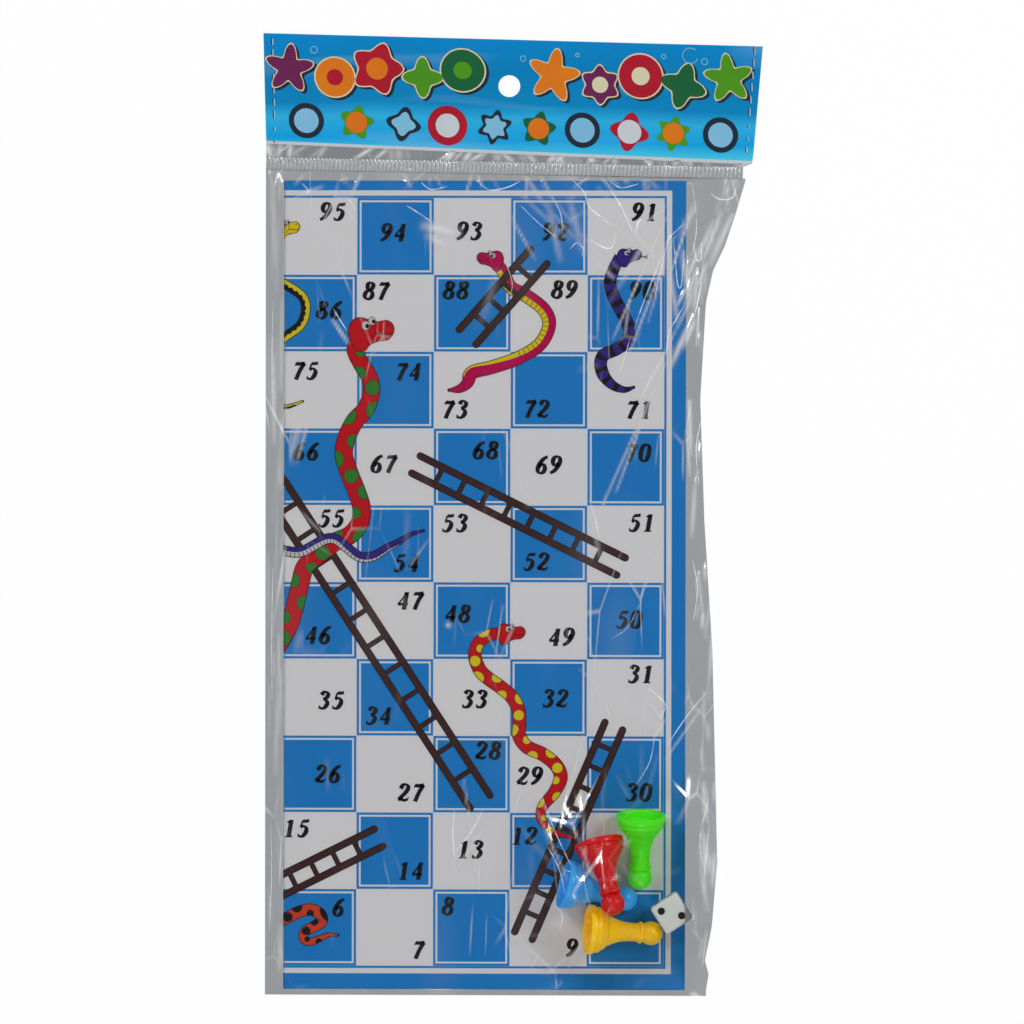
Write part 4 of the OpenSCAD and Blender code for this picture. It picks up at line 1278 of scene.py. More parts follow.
@dataclass
class Bag:
    """The clear bag: one sheet that lies over the board and the pieces, and one under them.

    Each row of plain_creases has two ends, a height, a half width and a gleam. Each row of fold_lines has
    a width and then the points of a sharp fold.
    """

    left_x: float = -69.963
    low_y: float = -130.9
    board_x: float = -64.2
    right_x: float = 64.163
    board_low_y: float = -129.0
    board_high_y: float = 129.0
    mouth_y: float = 131.1
    skew_deg: float = 1.1
    side_step: float = 5.6
    seal_left: float = -69.96
    ribs: int = 117
    rib_pitch: float = 1.3
    under_z: float = 0.05
    seam_z: float = 0.2
    rest_z: float = 1.9
    clear_of_pieces: float = 0.35
    relax_steps: int = 2500
    pull: float = 0.0009
    edge_gleam: float = 0.35
    shares: tuple[Point, ...] = (
        (0, 1.2), (.02, 1.36), (.035, 1.13), (.08, 1.54), (.16, 1.83), (.42, 1.53), (.58, 1.06), (.73, .81),
        (.85, 1.12), (.89, 1.53), (.92, 2.2), (.96, 2.81), (1, 3.35))
    plain_creases: ClassVar[tuple[tuple[float, ...], ...]] = (
        (-19, 114.5, -9, 112.5, .3, 1.5, .9), (-18, 111.5, -12, 108, .25, 1.2, .8),
        (-44.5, 120.5, -41.2, 115.5, .25, .45, .75), (-48.5, 84.6, -43.6, 77.2, .25, .45, .8),
        (10, 126, 27, 110, .2, .5, .3), (14, 127, 33, 106, .22, .5, .3), (18, 127.5, 40, 101, .2, .5, .28),
        (36, 127, 56, 102, .25, .6, .34), (59, 108, 46, 74, .25, .35, .6), (58, 104, 52, 84, .2, .35, .4),
        (58.5, 102, 61.5, 84, .35, .8, .6), (63, 106, 65.5, 90, .4, 1.0, .7), (52, -37, 57.5, -43, .25, .4, .6),
        (57.5, -43, 54.5, -48, .25, .4, .6), (70, -38, 58, -55, .2, .35, .45), (34, 22, 37, 9, .2, .6, .3),
        (-11.6, -12.4, -11.2, -12.9, .2, .8, .9), (-9.6, -78, -9.6, -92, .25, .35, .4),
        (-.6, -78, -9.2, -91, .25, .35, .45), (-6.5, -62, -1.8, -93, .2, .35, .4), (17, -72, 30, -100, .25, .35, .42),
        (26, -70, 35, -92, .25, .4, .5), (31, -66, 33, -90, .2, .35, .4), (34, -112, 20, -124, .2, .4, .25),
        (-60, 124, -52, 127, .3, .6, .5), (58, 118, 41, 79, .22, .3, .75), (66, 120, 59, 99, .22, .35, .8),
        (46, 112, 58, 121, .2, .3, .6), (40, 119, 51, 108, .2, .3, .5), (35, 104, 41, 98, .3, .5, .7),
        (53, 60, 42, 30, .22, .35, .6), (60, 76, 36, 22, .25, .4, .5), (62, 84, 50, 58, .2, .3, .65),
        (8, 118, 16, 104, .22, .35, .5), (20, 122, 24, 104, .3, 1.0, .36), (27, 123, 31, 107, .3, 1.1, .34),
        (4, 100, -1, 84, .3, 1.2, .16), (9, 40, 14, 26, .3, .9, .3), (32, -46, 24, -78, .2, .3, .3))
    fold_lines: ClassVar[tuple[tuple[float, ...], ...]] = (
        (0.32, 27.8, 129.3, 31.6, 125.3, 33.1, 120.8, 36.7, 117.7, 40.2, 114.8),
        (0.4, 40.2, 125.9, 43.3, 120.9, 47.1, 112.8), (0.4, 50, 116.9, 48.7, 115.5, 48.1, 111.7),
        (0.36, 32.9, 110.8, 36.7, 108.3, 40.3, 107.7, 41.8, 112.6),
        (0.3, 56.9, 106.2, 54.5, 100.3, 50.1, 89.1, 47.6, 81.5),
        (0.34, 63.7, 115.6, 59.3, 111.5, 58, 109.8, 57.5, 107.1),
        (0.3, 61.5, 112, 60.2, 110.2, 60.7, 104.4, 61.4, 96.4, 62.5, 95.5, 63.3, 104.4, 62.9, 110.7),
        (0.34, 64.3, 90.6, 60.8, 84.7, 58.6, 80.2, 57.9, 73.5), (0.2, 46.5, 79.7, 44.8, 73.4, 42.8, 67.6),
        (0.22, 56.6, 73.1, 52.8, 65.9, 49.7, 59.3), (0.5, 71.9, 125, 74.8, 123.2, 78.8, 123.7, 79.9, 126.8),
        (0.5, 66.4, 109.8, 67.3, 104.4, 68.7, 104, 69.1, 109.8), (0.4, 69.6, 101.8, 68.3, 92.8, 66.5, 84.8),
        (0.24, 59.2, 112.9, 56.7, 103.3, 53.9, 91.2), (0.42, -48.3, 88.1, -46.4, 84.9, -43.9, 81.1),
        (0.24, -9.4, -71.8, -10, -78.8, -9.4, -86.5), (0.26, -0.4, -71.7, -4.2, -78.8, -9.4, -85.2),
        (0.26, 17.8, -65.2, 22.9, -78.5, 30.6, -93.7), (0.34, 52.1, -32.4, 57.6, -37.7, 56, -42.5),
        (0.34, 71.3, -33.5, 64.9, -41.2, 58.6, -50.5), (0.22, 33.5, 27.4, 35.4, 21, 36.7, 14.7),
        (0.4, -25.1, 121.1, -21, 118.6, -16.9, 115.7), (0.22, 11.2, 121.3, 17.5, 115.2, 23.8, 110.2),
        (0.2, 21.3, 124.2, 24.1, 118.5, 24.8, 112.7), (0.3, 66.1, 128.2, 67.4, 113.6, 65.2, 103.4),
        (0.16, 40, -17.2, 45.7, -13.3, 49.5, -5.6), (0.2, 6.5, 103.1, 8.7, 96.7, 8, 91),
        (0.3, 27, 107, 29.2, 109.2, 31.4, 107.3, 30.8, 104.8), (0.24, -44.4, 123.9, -42.5, 121.7, -41.3, 119.1),
        (0.2, 54.4, -47.3, 52.9, -55.9, 48.4, -63.6), (0.3, 20.4, -83, 24.2, -90, 26.1, -97.6),
        (0.3, 69, 53.1, 67.4, 43.5, 68.4, 32.1), (0.3, 66.3, 8.5, 67.9, -1, 66.7, -11.2),
        (0.3, 71.7, -67.8, 68.9, -80.6, 70.3, -90.8), (0.2, -67.6, 90.6, -67.9, 74.6, -67.7, 55.4),
        (0.2, -67.5, 7.5, -67.9, -18, -67.7, -37.2), (0.2, -68.1, -75.5, -67.9, -94.7, -68.6, -110.7),
        (0.3, -58.3, 128, -56.4, 125.8, -57, 123.8), (0.3, -20.4, 128.5, -17.2, 126.2, -11.9, 127.2),
        (0.34, -2.1, 128.5, 1.7, 126, 7.4, 127, 11.2, 128.9), (0.34, 39.6, 129, 43.4, 126.8, 49, 128.1),
        (0.2, 23, -101.8, 25.2, -104.9, 24.3, -109.7), (0.28, 31.6, -93.7, 29, -91.2, 25.2, -89.9))

    def side_x(self, y: np.ndarray) -> np.ndarray:
        """Gives the bag's open side at a height up the board."""
        share = (np.asarray(y) - self.board_low_y) / (self.board_high_y - self.board_low_y)
        return self.right_x + self.side_step * np.interp(share, *zip(*self.shares))

    def mouth(self, x: np.ndarray) -> np.ndarray:
        """Gives the bag's mouth line."""
        return self.mouth_y - math.tan(math.radians(self.skew_deg)) * np.asarray(x)

    def lay_grid(self) -> tuple[np.ndarray, np.ndarray, np.ndarray]:
        """Lays the grid of the front sheet.

        Returns:
            The x and y of each point, and True where a point is over the board.
        """
        levels = [(y, 0.0) for y in np.linspace(self.low_y, self.board_low_y, 4)[:-1]]
        levels += [(y, 0.0) for y in np.linspace(self.board_low_y, self.board_high_y, 345)]
        levels += [(self.board_high_y, k / 4) for k in range(1, 5)]
        board_edge = self.right_x + .05
        rows = []
        for y, share in levels:
            edge = float(self.side_x(min(max(y, self.board_low_y), self.board_high_y)))
            x = np.concatenate([np.linspace(self.left_x, self.board_x, 9)[:-1],
                                np.linspace(self.board_x, board_edge, 172), np.linspace(board_edge, edge, 19)[1:]])
            rows.append(np.stack([x, y + (self.mouth(x) + 0.3 - y) * share], 1))
        x, y = np.moveaxis(np.array(rows), -1, 0)
        over = (x > -64.3) & (x < self.right_x + .06) & (y > self.board_low_y - .01) & (y < self.board_high_y + .01)
        return x, y, over

    def under_film(self, x: np.ndarray, y: np.ndarray, over: np.ndarray) -> np.ndarray:
        """Gives the top of what lies under the film at each point.

        Args:
            x: The points' x.
            y: The points' y.
            over: True over the board.

        Returns:
            The heights.
        """
        top = np.where(over, self.rest_z, self.seam_z)
        clouds = [pawn.lathe(smooth_line(pawn.outline()[:60], 3), 120).reshape(-1, 3) for pawn in PAWNS]
        a, b = np.meshgrid(np.linspace(-5, 5, 41), np.linspace(-5, 5, 41))
        clouds.append(Die().world(np.stack([a.ravel(), b.ravel(), np.full(a.size, 5.0)], 1)))
        points = np.concatenate(clouds)
        rows, cols = x.shape
        col_at = np.interp(points[:, 0], x[rows // 8], np.arange(cols))
        row_at = np.interp(points[:, 1], y[:, cols // 2], np.arange(rows))
        for di in (0, 1):
            for dj in (0, 1):
                i = np.clip(np.floor(row_at).astype(int) + di, 0, rows - 1)
                j = np.clip(np.floor(col_at).astype(int) + dj, 0, cols - 1)
                np.maximum.at(top, (i, j), points[:, 2] + self.clear_of_pieces)
        return top

    def creases(self) -> list[Crease]:
        """Gives the creases of the front sheet, the same every time.

        Returns:
            The creases.
        """
        out = [Crease(row[:2], row[2:4], *row[4:]) for row in self.plain_creases]
        rng = np.random.default_rng(11)

        def add(x: float, y: float, end_x: float, end_y: float, *ranges: tuple[float, float] | float) -> None:
            """Adds a crease whose height, width and gleam are drawn from ranges, or given."""
            out.append(Crease((x, y), (end_x, end_y), *[rng.uniform(*r) if isinstance(r, tuple) else r
                                                        for r in ranges]))

        for _ in range(46):
            y = rng.uniform(-128, 128)
            x = float(self.side_x(y)) - rng.uniform(0.5, 4.5)
            run = rng.uniform(4, 18)
            add(x, y, x + rng.uniform(-0.16, 0.16) * run, y + run, (.25, .6), (.3, .8), (.15, .7))
        for _ in range(16):
            y = rng.uniform(84, 130)
            x = rng.uniform(65, float(self.side_x(y)) - 0.5)
            run = rng.uniform(5, 16)
            add(x, y, x - 0.42 * run + rng.uniform(-1, 1), y - run, (.3, .7), (.4, 1.1), (.3, .9))
        for _ in range(26):
            y = rng.uniform(-128, 128)
            x = rng.uniform(self.left_x + .8, -65)
            run = rng.uniform(6, 30)
            add(x, y, x + rng.uniform(-.6, .6), y + run, (.1, .3), (.3, .6), (.1, .5))
        for _ in range(22):
            x = rng.uniform(-62, 70)
            add(x, 131, x + rng.uniform(-6, 6), 131 - rng.uniform(2, 9), (.2, .5), (.3, .7), (.2, .6))
        for _ in range(16):
            x = rng.uniform(-60, 66)
            y = rng.uniform(-120, 116)
            add(x, y, x + rng.uniform(-6, 6), y + rng.uniform(6, 16), .08, (.5, 1.2), (.04, .12))
        for pawn in PAWNS:
            foot = pawn.foot()[:2]
            for _ in range(7):
                turn = rng.uniform(0, FULL_TURN)
                way = np.array([math.cos(turn), math.sin(turn)])
                near, far = foot + way * rng.uniform(6, 9), foot + way * rng.uniform(14, 24)
                add(*near, *far, (.08, .18), (.3, .5), (.04, .12))
        return out

    def fold(self, piece: Draft, sheet: np.ndarray) -> None:
        """Adds the film's sharpest folds as thin ridges that follow the settled sheet, with a painted highlight: a
        white finish that glows a little.

        Args:
            piece: The bag's draft.
            sheet: The settled sheet's points.
        """
        flat, heights = sheet[..., :2].reshape(-1, 2), sheet[..., 2].reshape(-1)
        for width, *route in self.fold_lines:
            line = smooth_line(np.reshape(route, (-1, 2)), 7)
            side = sides(line)[1]
            half = width * 0.52 * np.sin(math.pi * (0.03 + 0.94 * np.linspace(0, 1, len(line)))) ** 0.7
            near = [int(((flat - spot) ** 2).sum(1).argmin()) for spot in line]
            z = heights[near][:, None] + 0.07
            edges = [np.hstack([line + side * half[:, None] * k, z + 0.015 * (k == 0)]) for k in (1, 0, -1)]
            piece.grid(np.stack(edges), 3, gleam=0.0)

    def settle(self) -> tuple[np.ndarray, np.ndarray, np.ndarray]:
        """Settles the front sheet over what lies under it.

        Returns:
            The points, their gleam and whether they are over the board.
        """
        x, y, over = self.lay_grid()
        z = self.under_film(x, y, over)
        floor = z[1:-1, 1:-1].copy()
        fixed = np.ones(x.shape, bool)
        fixed[1:-1, 1:-1] = False
        rest = np.where(over, self.rest_z, 0.5)[1:-1, 1:-1]
        for _ in range(self.relax_steps):
            mean = (z[:-2, 1:-1] + z[2:, 1:-1] + z[1:-1, :-2] + z[1:-1, 2:]) / 4
            z[1:-1, 1:-1] = np.maximum(floor, mean - self.pull * (mean - rest))
            z[fixed] = self.seam_z
        # gleam is a painted highlight: a mask that raises the film's mirror share along each crease, beside the
        # crease's real lift.
        gleam = np.zeros(x.shape)
        lift = np.zeros(x.shape)
        for crease in self.creases():
            a, b = np.array(crease.start), np.array(crease.end)
            d = b - a
            t = np.clip(((x - a[0]) * d[0] + (y - a[1]) * d[1]) / (d @ d), 0, 1)
            far = np.hypot(x - a[0] - d[0] * t, y - a[1] - d[1] * t)
            fade = np.sin(math.pi * (0.12 + 0.76 * t)) ** 0.8
            lift = np.maximum(lift, crease.height * fade * np.exp(-(far / (crease.width * 1.6)) ** 2))
            gleam = np.maximum(gleam, crease.gleam * fade * np.exp(-(far / crease.width) ** 2))
        ripple = 0.05 * (1 + np.sin(x * 0.23 + 1.7 * np.sin(y * 0.045)) * np.sin(y * 0.11 + 1.3 * np.sin(x * 0.08)))
        return np.stack([x, y, z + np.where(fixed, 0, lift + ripple)], -1), gleam, over

    def build(self) -> None:
        """Builds both sheets and their welds as one piece."""
        points, gleam, over = self.settle()
        piece = Draft("bag_film", [Finish.CLEAR, Finish.MARGIN, Finish.UNDER, Finish.FOLD])
        inside = over[:-1, :-1] & over[1:, 1:] & over[1:, :-1] & over[:-1, 1:]
        piece.grid(points, np.where(inside, 0, 1), gleam=gleam)
        rows, cols = ([*range(0, size - 1, step), size - 1] for size, step in zip(points.shape, (4, 5)))
        under = points[np.ix_(rows, cols)]
        under[..., 2] = self.under_z
        piece.grid(under, 2, flip=True, gleam=0.0)
        # The welded edges carry a painted highlight through edge_gleam.
        for line in (points[0], points[-1], points[:, 0], points[:, -1]):
            low = line.copy()
            low[:, 2] = self.under_z
            piece.grid(np.stack([line, low]), 1, gleam=self.edge_gleam)
        self.fold(piece, points)
        made = piece.build(180)
        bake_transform(made)
        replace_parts(made, "bag_front_film", "bag_back_film", "bag_fold_side", "bag_edge_weld")
        self.build_seal()

    def in_seal(self, u: np.ndarray, v: np.ndarray, z: np.ndarray) -> np.ndarray:
        """Turns seal coordinates into the frame."""
        c, s = math.cos(math.radians(self.skew_deg)), math.sin(math.radians(self.skew_deg))
        return np.stack([u * c + v * s, self.mouth_y - u * s + v * c, z + 0 * u], -1)

    def build_seal(self) -> None:
        """Builds the ribbed mouth seal as two skins, the top one ribbed."""
        u = np.linspace(self.seal_left, self.seal_left + self.ribs * self.rib_pitch, self.ribs * 10 + 1)
        uu, vv = np.meshgrid(u, [0, .25, .6, 1.4, 2.4, 3.3, 3.7, 4.0])
        edge = np.array([.3, .7, .95, 1, 1, .95, .7, .3])[:, None]
        wave = (0.5 + 0.5 * np.cos(FULL_TURN * (u - self.seal_left) / self.rib_pitch))[None, :]
        top = 0.3 + 0.2 * edge * wave ** 0.7 + 0.04 * np.sin(uu * .35) * edge
        piece = Draft("mouth_seal_ribbed", [Finish.SEAL])
        # The rib crests carry a painted highlight through their gleam.
        piece.grid(self.in_seal(uu, vv, top), 0, gleam=0.2 + 0.7 * edge * wave ** 4)
        piece.grid(self.in_seal(uu[:, ::10], vv[:, ::10], 0.02), 0, flip=True, gleam=0.0)
        made = piece.build(180)
        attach(made, "back_half")
        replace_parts(made, "mouth_seal")


@dataclass
class Header:
    """The printed header: two film panels above a clear neck, with a round hang hole.

    Each of the motifs has its place, radius, tips, depth between the tips, turn, fill and heart. Each of
    the small shapes has its place along the header, tips and fill, and each bubble its place and radius.
    """

    bag: Bag
    low_left: Point = (-70.013, 8.3)
    low_right: Point = (84.963, 4.86)
    high_right: Point = (89.187, 42.444)
    high_left: Point = (-70.013, 43.5)
    hole: Point = (7.199, 28.2)
    hole_r: float = 3.5
    lean: float = 0.046
    lean_from: float = 8.0
    upright_r: float = 12.0
    neck_wide: float = 152.1
    neck_low: float = 3.9
    dots: int = 9
    dot_step: float = 3.9
    dot_high: float = 2.4
    columns: int = 160
    rows: int = 36
    reach: int = 6
    motifs: ClassVar[tuple[tuple[object, ...], ...]] = (
        (-62, 33, 6.6, 5, .52, .1, Finish.PLUM, None), (-47.5, 30.5, 5.2, 0, 0, 0, Finish.TANGERINE, Finish.CRIMSON),
        (-34, 33.5, 7.0, 5, .3, .3, Finish.CRIMSON, Finish.TANGERINE), (-19.5, 31, 5.4, 4, .45, 0, Finish.LEAF, None),
        (-7, 33.5, 5.6, 0, 0, 0, Finish.PINE, Finish.LEAF), (22, 32.5, 7.2, 5, .52, .2, Finish.TANGERINE, None),
        (37, 29.8, 5.2, 6, .28, 0, Finish.PLUM, Finish.CREAM), (50, 32.8, 5.8, 0, 0, 0, Finish.CRIMSON, Finish.CREAM),
        (63.5, 30, 6.2, 4, .45, .3, Finish.PINE, None), (78, 32.6, 6.6, 5, .52, -.1, Finish.LEAF, None))
    small_shapes: ClassVar[tuple[tuple[object, ...], ...]] = (
        (-57, 0, Finish.SHADOW), (-41, 5, Finish.LEAF), (-26, 4, Finish.SHADOW), (-12, 0, Finish.CRIMSON),
        (3, 6, Finish.SHADOW), (17, 5, Finish.PINE), (31, 0, Finish.SHADOW), (46, 4, Finish.CRIMSON),
        (60, 6, Finish.LEAF), (75, 0, Finish.SHADOW))
    bubbles: tuple[Space, ...] = ((66, 39, 2.6), (70.5, 37.2, 1.1), (57.5, 38.6, .8), (-54, 38.5, 1.2),
                                  (12, 37, 1.0), (30, 38.5, .7))

    def wave(self, u: np.ndarray, v: np.ndarray) -> np.ndarray:
        """Gives the height of the front panel's soft waves.

        Args:
            u: Places along the seal, in millimetres.
            v: Places above the seal.

        Returns:
            The heights.
        """
        rise = np.clip((v - 4.5) / 16, 0, 1)
        rise = rise * rise * (3 - 2 * rise)
        return (0.26 + rise * (0.64 + 0.28 * np.sin(u * 0.085 + 0.7) + 0.22 * np.sin(u * 0.19 + v * 0.16)
                + 0.12 * np.sin(v * 0.32 + u * 0.03)))

    def place(self, u: np.ndarray, v: np.ndarray, z: np.ndarray) -> np.ndarray:
        """Places points of the header, which leans a little to the left away from its hang hole.

        Args:
            u: Places along the seal, in millimetres.
            v: Places above the seal.
            z: Heights.

        Returns:
            The points in the frame.
        """
        far = np.hypot(u - self.hole[0], v - self.hole[1])
        upright = np.exp(-(far / self.upright_r) ** 2)
        return self.bag.in_seal(u - self.lean * np.clip(v - self.lean_from, 0, None) * (1 - upright), v, z)

    def sheet_points(self) -> tuple[np.ndarray, np.ndarray]:
        """Gives the panel's grid in seal coordinates.

        Returns:
            The places along the seal and above it.
        """
        s, t = np.meshgrid(np.linspace(0, 1, self.columns + 1), np.linspace(0, 1, self.rows + 1))
        return tuple((1 - s) * (1 - t) * a + s * (1 - t) * b + s * t * c + (1 - s) * t * d
                     for a, b, c, d in zip(self.low_left, self.low_right, self.high_right, self.high_left))

    def panel(self, name: str, front: bool) -> bpy.types.Object:
        """Builds one panel with its hang hole.

        Args:
            name: The piece's name.
            front: True for the printed face on top, False for the one underneath.

        Returns:
            The panel's object.
        """
        piece = Draft(name, [Finish.HEADER, Finish.STRIP])
        u, v = self.sheet_points()
        far = np.hypot(u - self.hole[0], v - self.hole[1])
        ci, cj = np.unravel_index(int(far.argmin()), far.shape)
        i0, i1, j0, j1 = ci - self.reach, ci + self.reach, cj - self.reach, cj + self.reach
        slots = np.zeros((self.rows, self.columns), int)
        slots[0] = 1
        slots[i0:i1, j0:j1] = -1
        border = [(i0, j) for j in range(j0, j1)] + [(i, j1) for i in range(i0, i1)] \
            + [(i1, j) for j in range(j1, j0, -1)] + [(i, j0) for i in range(i1, i0, -1)]
        loop = np.array([(u[i, j], v[i, j]) for i, j in border])
        way = loop - np.array(self.hole)
        circle = np.array(self.hole) + way / np.linalg.norm(way, axis=1)[:, None] * self.hole_r
        rings = np.array([loop + (circle - loop) * share for share in (0, .4, .75, .93, 1)])
        for lift, under in ((0.0, False), (-0.1, True)) if front else ((0.12, False), (0.02, True)):
            for a, b, slot, closed in ((u, v, slots, False), (*np.moveaxis(rings, -1, 0), 0, True)):
                z = self.wave(a, b) + lift if front else np.full(a.shape, lift)
                piece.grid(self.place(a, b, z), slot, flip=under, closed=closed)
        made = piece.build(60)
        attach(made, "header")
        return made

    def decals(self) -> bpy.types.Object:
        """Prints the header's plain playful shapes and its bubbles, and paints its dotted side welds, each dot a strip
        of painted shade beside a strip of painted highlight.

        Returns:
            The print's object.
        """
        finishes = [Finish.SHADOW, Finish.CREAM, Finish.CRIMSON, Finish.TANGERINE, Finish.LEAF, Finish.PINE,
                    Finish.PLUM, Finish.STRIP, Finish.BUBBLE]
        piece = Draft("header_print", finishes)

        def height(u: float, v: float) -> float:
            """Gives the front panel's height at one point."""
            return float(self.wave(np.array([u]), np.array([v]))[0])

        def shape(u: float, v: float, r: float, tips: int, depth: float, turn: float, finish: Solid, lift: float,
                  grow: float = 0) -> None:
            """Prints a star, flower or disc as a fan that follows the panel.

            Args:
                u: The middle's place along the seal.
                v: The middle's place above the seal.
                r: The radius.
                tips: How many tips, or 0 for a disc.
                depth: How deep it is between the tips, as a share.
                turn: How far it is turned, in radians.
                finish: The ink.
                lift: How many steps it lies above the panel.
                grow: How far its edge is moved out.
            """
            points = star(u, v, r, tips, depth, turn, grow)
            middle = points.mean(0)
            rings = np.array([middle + (points - middle) * s for s in (1, .85, .7, .55, .4, .25, .1, .001)])
            a, b = rings[..., 0], rings[..., 1]
            piece.grid(self.place(a, b, self.wave(a, b) + 0.08 + lift * 0.05), finishes.index(finish), flip=True,
                       closed=True)

        def star(u: float, v: float, r: float, tips: int, depth: float, turn: float, grow: float) -> np.ndarray:
            """Gives the outline of a star, flower or disc.

            Args:
                u: The middle's place along the seal.
                v: The middle's place above the seal.
                r: The radius.
                tips: How many tips, or 0 for a disc.
                depth: How deep it is between the tips, as a share.
                turn: How far it is turned, in radians.
                grow: How far the edge is moved out.

            Returns:
                The outline's points, one in each row.
            """
            t = np.linspace(0, FULL_TURN, 120, endpoint=False)
            swell = 1 - depth * (0.5 - 0.5 * np.cos(tips * t)) ** 0.8 if tips else np.ones_like(t)
            size = r * swell + grow
            return np.stack([u + size * np.sin(t + turn), v + size * np.cos(t + turn)], 1)

        for u, v, r, tips, depth, turn, fill, heart in self.motifs:
            v, r = v - 0.6, r * 1.18
            shape(u + .8, v - .6, r, tips, depth, turn, Finish.SHADOW, 0, .55)
            shape(u, v, r, tips, depth, turn, Finish.CREAM, 1, .5)
            shape(u, v, r, tips, depth, turn, fill, 2)
            if heart:
                shape(u, v, r * .42, 0, 0, 0, heart, 3)
        for u, tips, fill in self.small_shapes:
            v = 15.9 - (u + 57) * 0.0145
            red = fill is Finish.CRIMSON
            size = 6.3 if red else 5.6
            shape(u, v, size, tips, .34 if tips else 0, .2, fill, 1)
            if fill is Finish.SHADOW:
                shape(u, v, size * .7, tips, .3 if tips else 0, .2, Finish.BUBBLE, 2)
            else:
                shape(u, v, size * .6, 0, 0, 0, Finish.STRIP if red else Finish.TANGERINE, 2)
        for u, v, r in self.bubbles:
            a, b = np.moveaxis(np.array([star(u, v, size, 0, 0, 0, 0) for size in (r, r - .28)]), -1, 0)
            piece.grid(self.place(a, b, height(u, v) + 0.12), finishes.index(Finish.BUBBLE), flip=True, closed=True)
        for left in (True, False):
            for k in range(self.dots):
                v = 8.6 + k * self.dot_step
                u = -67.6 if left else 82.4 + 0.108 * (v - 4.86)
                z = height(u, v) + 0.1
                # Each weld dot is a dark strip of painted shade beside a pale strip of painted highlight.
                for start, width, finish in ((u, .34, Finish.SHADOW), (u + .34, .3, Finish.STRIP)):
                    a = np.array([start, start + width, start + width, start])
                    box = self.place(a, np.array([v, v, v + self.dot_high, v + self.dot_high]), z)
                    piece.polygon([tuple(p) for p in box], finishes.index(finish))
        made = piece.build(60)
        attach(made, "header")
        return made

    def neck(self) -> bpy.types.Object:
        """Builds the clear neck between the seal and the header.

        Returns:
            The neck's object.
        """
        s = np.linspace(0, 1, 220)
        t = np.linspace(0, 1, 9)[:, None]
        low_u = self.bag.seal_left + self.neck_wide * s
        top_u, top_v = (a + (b - a) * s for a, b in zip(self.low_left, self.low_right))
        u, v = low_u + (top_u - low_u) * t, self.neck_low + (top_v + 0.3 - self.neck_low) * t
        rng = np.random.default_rng(5)
        z = 0.18 + 0.06 * np.sin(u * 0.9 + 2 * np.sin(v)) * np.sin(math.pi * t)
        gleam = np.zeros_like(u)
        # Each fold of the neck is raised a little and carries a painted highlight through its gleam.
        for _ in range(60):
            at, lean, wide = rng.uniform(-69, 82), rng.uniform(-1.5, 1.5), rng.uniform(.3, 1.2)
            fold = np.exp(-(np.abs(u - at - lean * (v - 5)) / wide) ** 2) * np.sin(math.pi * (0.1 + 0.8 * t))
            z = z + 0.16 * fold
            gleam = np.maximum(gleam, rng.uniform(.2, .9) * fold)
        piece = Draft("neck_sheet", [Finish.MARGIN])
        piece.grid(self.place(u, v, np.minimum(z, .6)), 0, gleam=gleam)
        piece.grid(self.place(u[::4, ::6], v[::4, ::6], 0.03), 0, flip=True, gleam=0.0)
        made = piece.build(180)
        start, end = (self.bag.in_seal(np.array([0.0]), np.array([v]), np.array([0.2]))[0] * MM for v in (4.0, 4.8))
        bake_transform(made)
        return made

    def build(self) -> None:
        """Builds the neck, both panels and the print."""
        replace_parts(self.neck(), "neck_film")
        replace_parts(self.panel("header_front", True), "header_front_panel")
        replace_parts(self.panel("header_back", False), "header_back_panel")
        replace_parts(self.decals(), "header_side_welds")


# ---- the studio --------------------------------------------------------------------------------


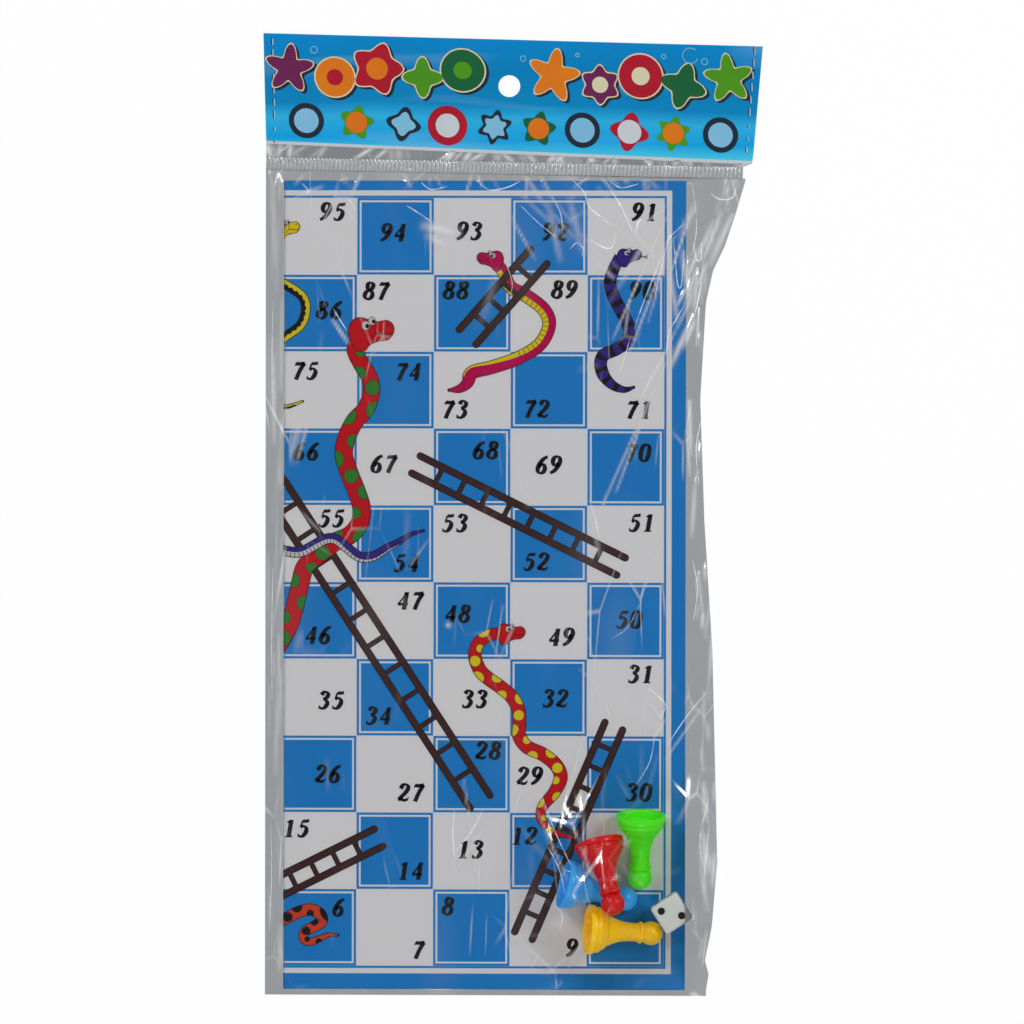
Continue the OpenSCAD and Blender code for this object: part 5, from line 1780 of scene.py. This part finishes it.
@dataclass(frozen=True)
class Studio:
    """The floor, the soft lamps, the white surroundings and the camera."""

    eye: Space = (0.08273, 0.07284, 3.0)
    turn: Space = (-0.01643, 0.02469, 0.00169)
    lens_mm: float = 330.78
    sensor_mm: float = 36.0
    lamps: tuple[tuple[Space, float, float], ...] = (
        ((-0.55, 0.55, 0.9), 0.36, 3.4), ((0.7, 0.35, 0.8), 0.32, 2.7), ((0.1, -0.8, 0.8), 0.4, 2.0))
    surround: float = 0.31

    def floor(self) -> None:
        """Builds the pale floor."""
        piece = Draft("floor", [Finish.FLOOR])
        line = np.linspace(-1500, 1500, 5)
        x, y = np.meshgrid(line, line)
        piece.grid(np.stack([x, y, np.full(x.shape, -0.02)], -1), 0)
        piece.build(180)

    def light(self) -> None:
        """Places the lamps and the white surroundings."""
        for index, (spot, size, power) in enumerate(self.lamps):
            lamp = bpy.data.lights.new(f"softbox_{index}", "AREA")
            lamp.size = size
            lamp.energy = power
            made = bpy.data.objects.new(lamp.name, lamp)
            made.location = spot
            made.rotation_euler = (-Vector(spot)).to_track_quat("-Z", "Y").to_euler()
            bpy.context.scene.collection.objects.link(made)
        world = bpy.context.scene.world or bpy.data.worlds.new("studio")
        bpy.context.scene.world = world
        world.use_nodes = True
        tree = Tree(world.node_tree)
        rays = tree.node("LightPath").outputs
        seen = tree.maths("MAXIMUM", rays["Is Camera Ray"], rays["Is Transmission Ray"])
        seen = tree.maths("MAXIMUM", seen, rays["Is Glossy Ray"])
        dim, bright = (tree.node("Background", in_Strength=power).outputs[0] for power in (self.surround, 1.0))
        tree.node("OutputWorld", in_Surface=tree.mix(seen, dim, bright))

    def camera(self) -> None:
        """Places the camera at the photograph's viewing angle."""
        lens = bpy.data.cameras.new("camera")
        lens.sensor_width = lens.sensor_height = self.sensor_mm
        lens.sensor_fit = "AUTO"
        lens.lens = self.lens_mm
        lens.clip_start = 0.01
        made = bpy.data.objects.new("camera", lens)
        made.location = self.eye
        made.rotation_euler = Euler(self.turn, "XYZ")
        bpy.context.scene.collection.objects.link(made)
        bpy.context.scene.camera = made


def main() -> None:
    """Builds every piece, the studio and the camera."""
    logging.basicConfig(level=logging.INFO, format="%(name)s %(message)s")
    bpy.context.scene.view_settings.view_transform = "Standard"
    Board().build()
    for pawn in PAWNS:
        pawn.build()
    Die().build()
    bag = Bag()
    bag.build()
    Header(bag).build()
    studio = Studio()
    studio.floor()
    studio.light()
    studio.camera()


if __name__ == "__main__":
    main()
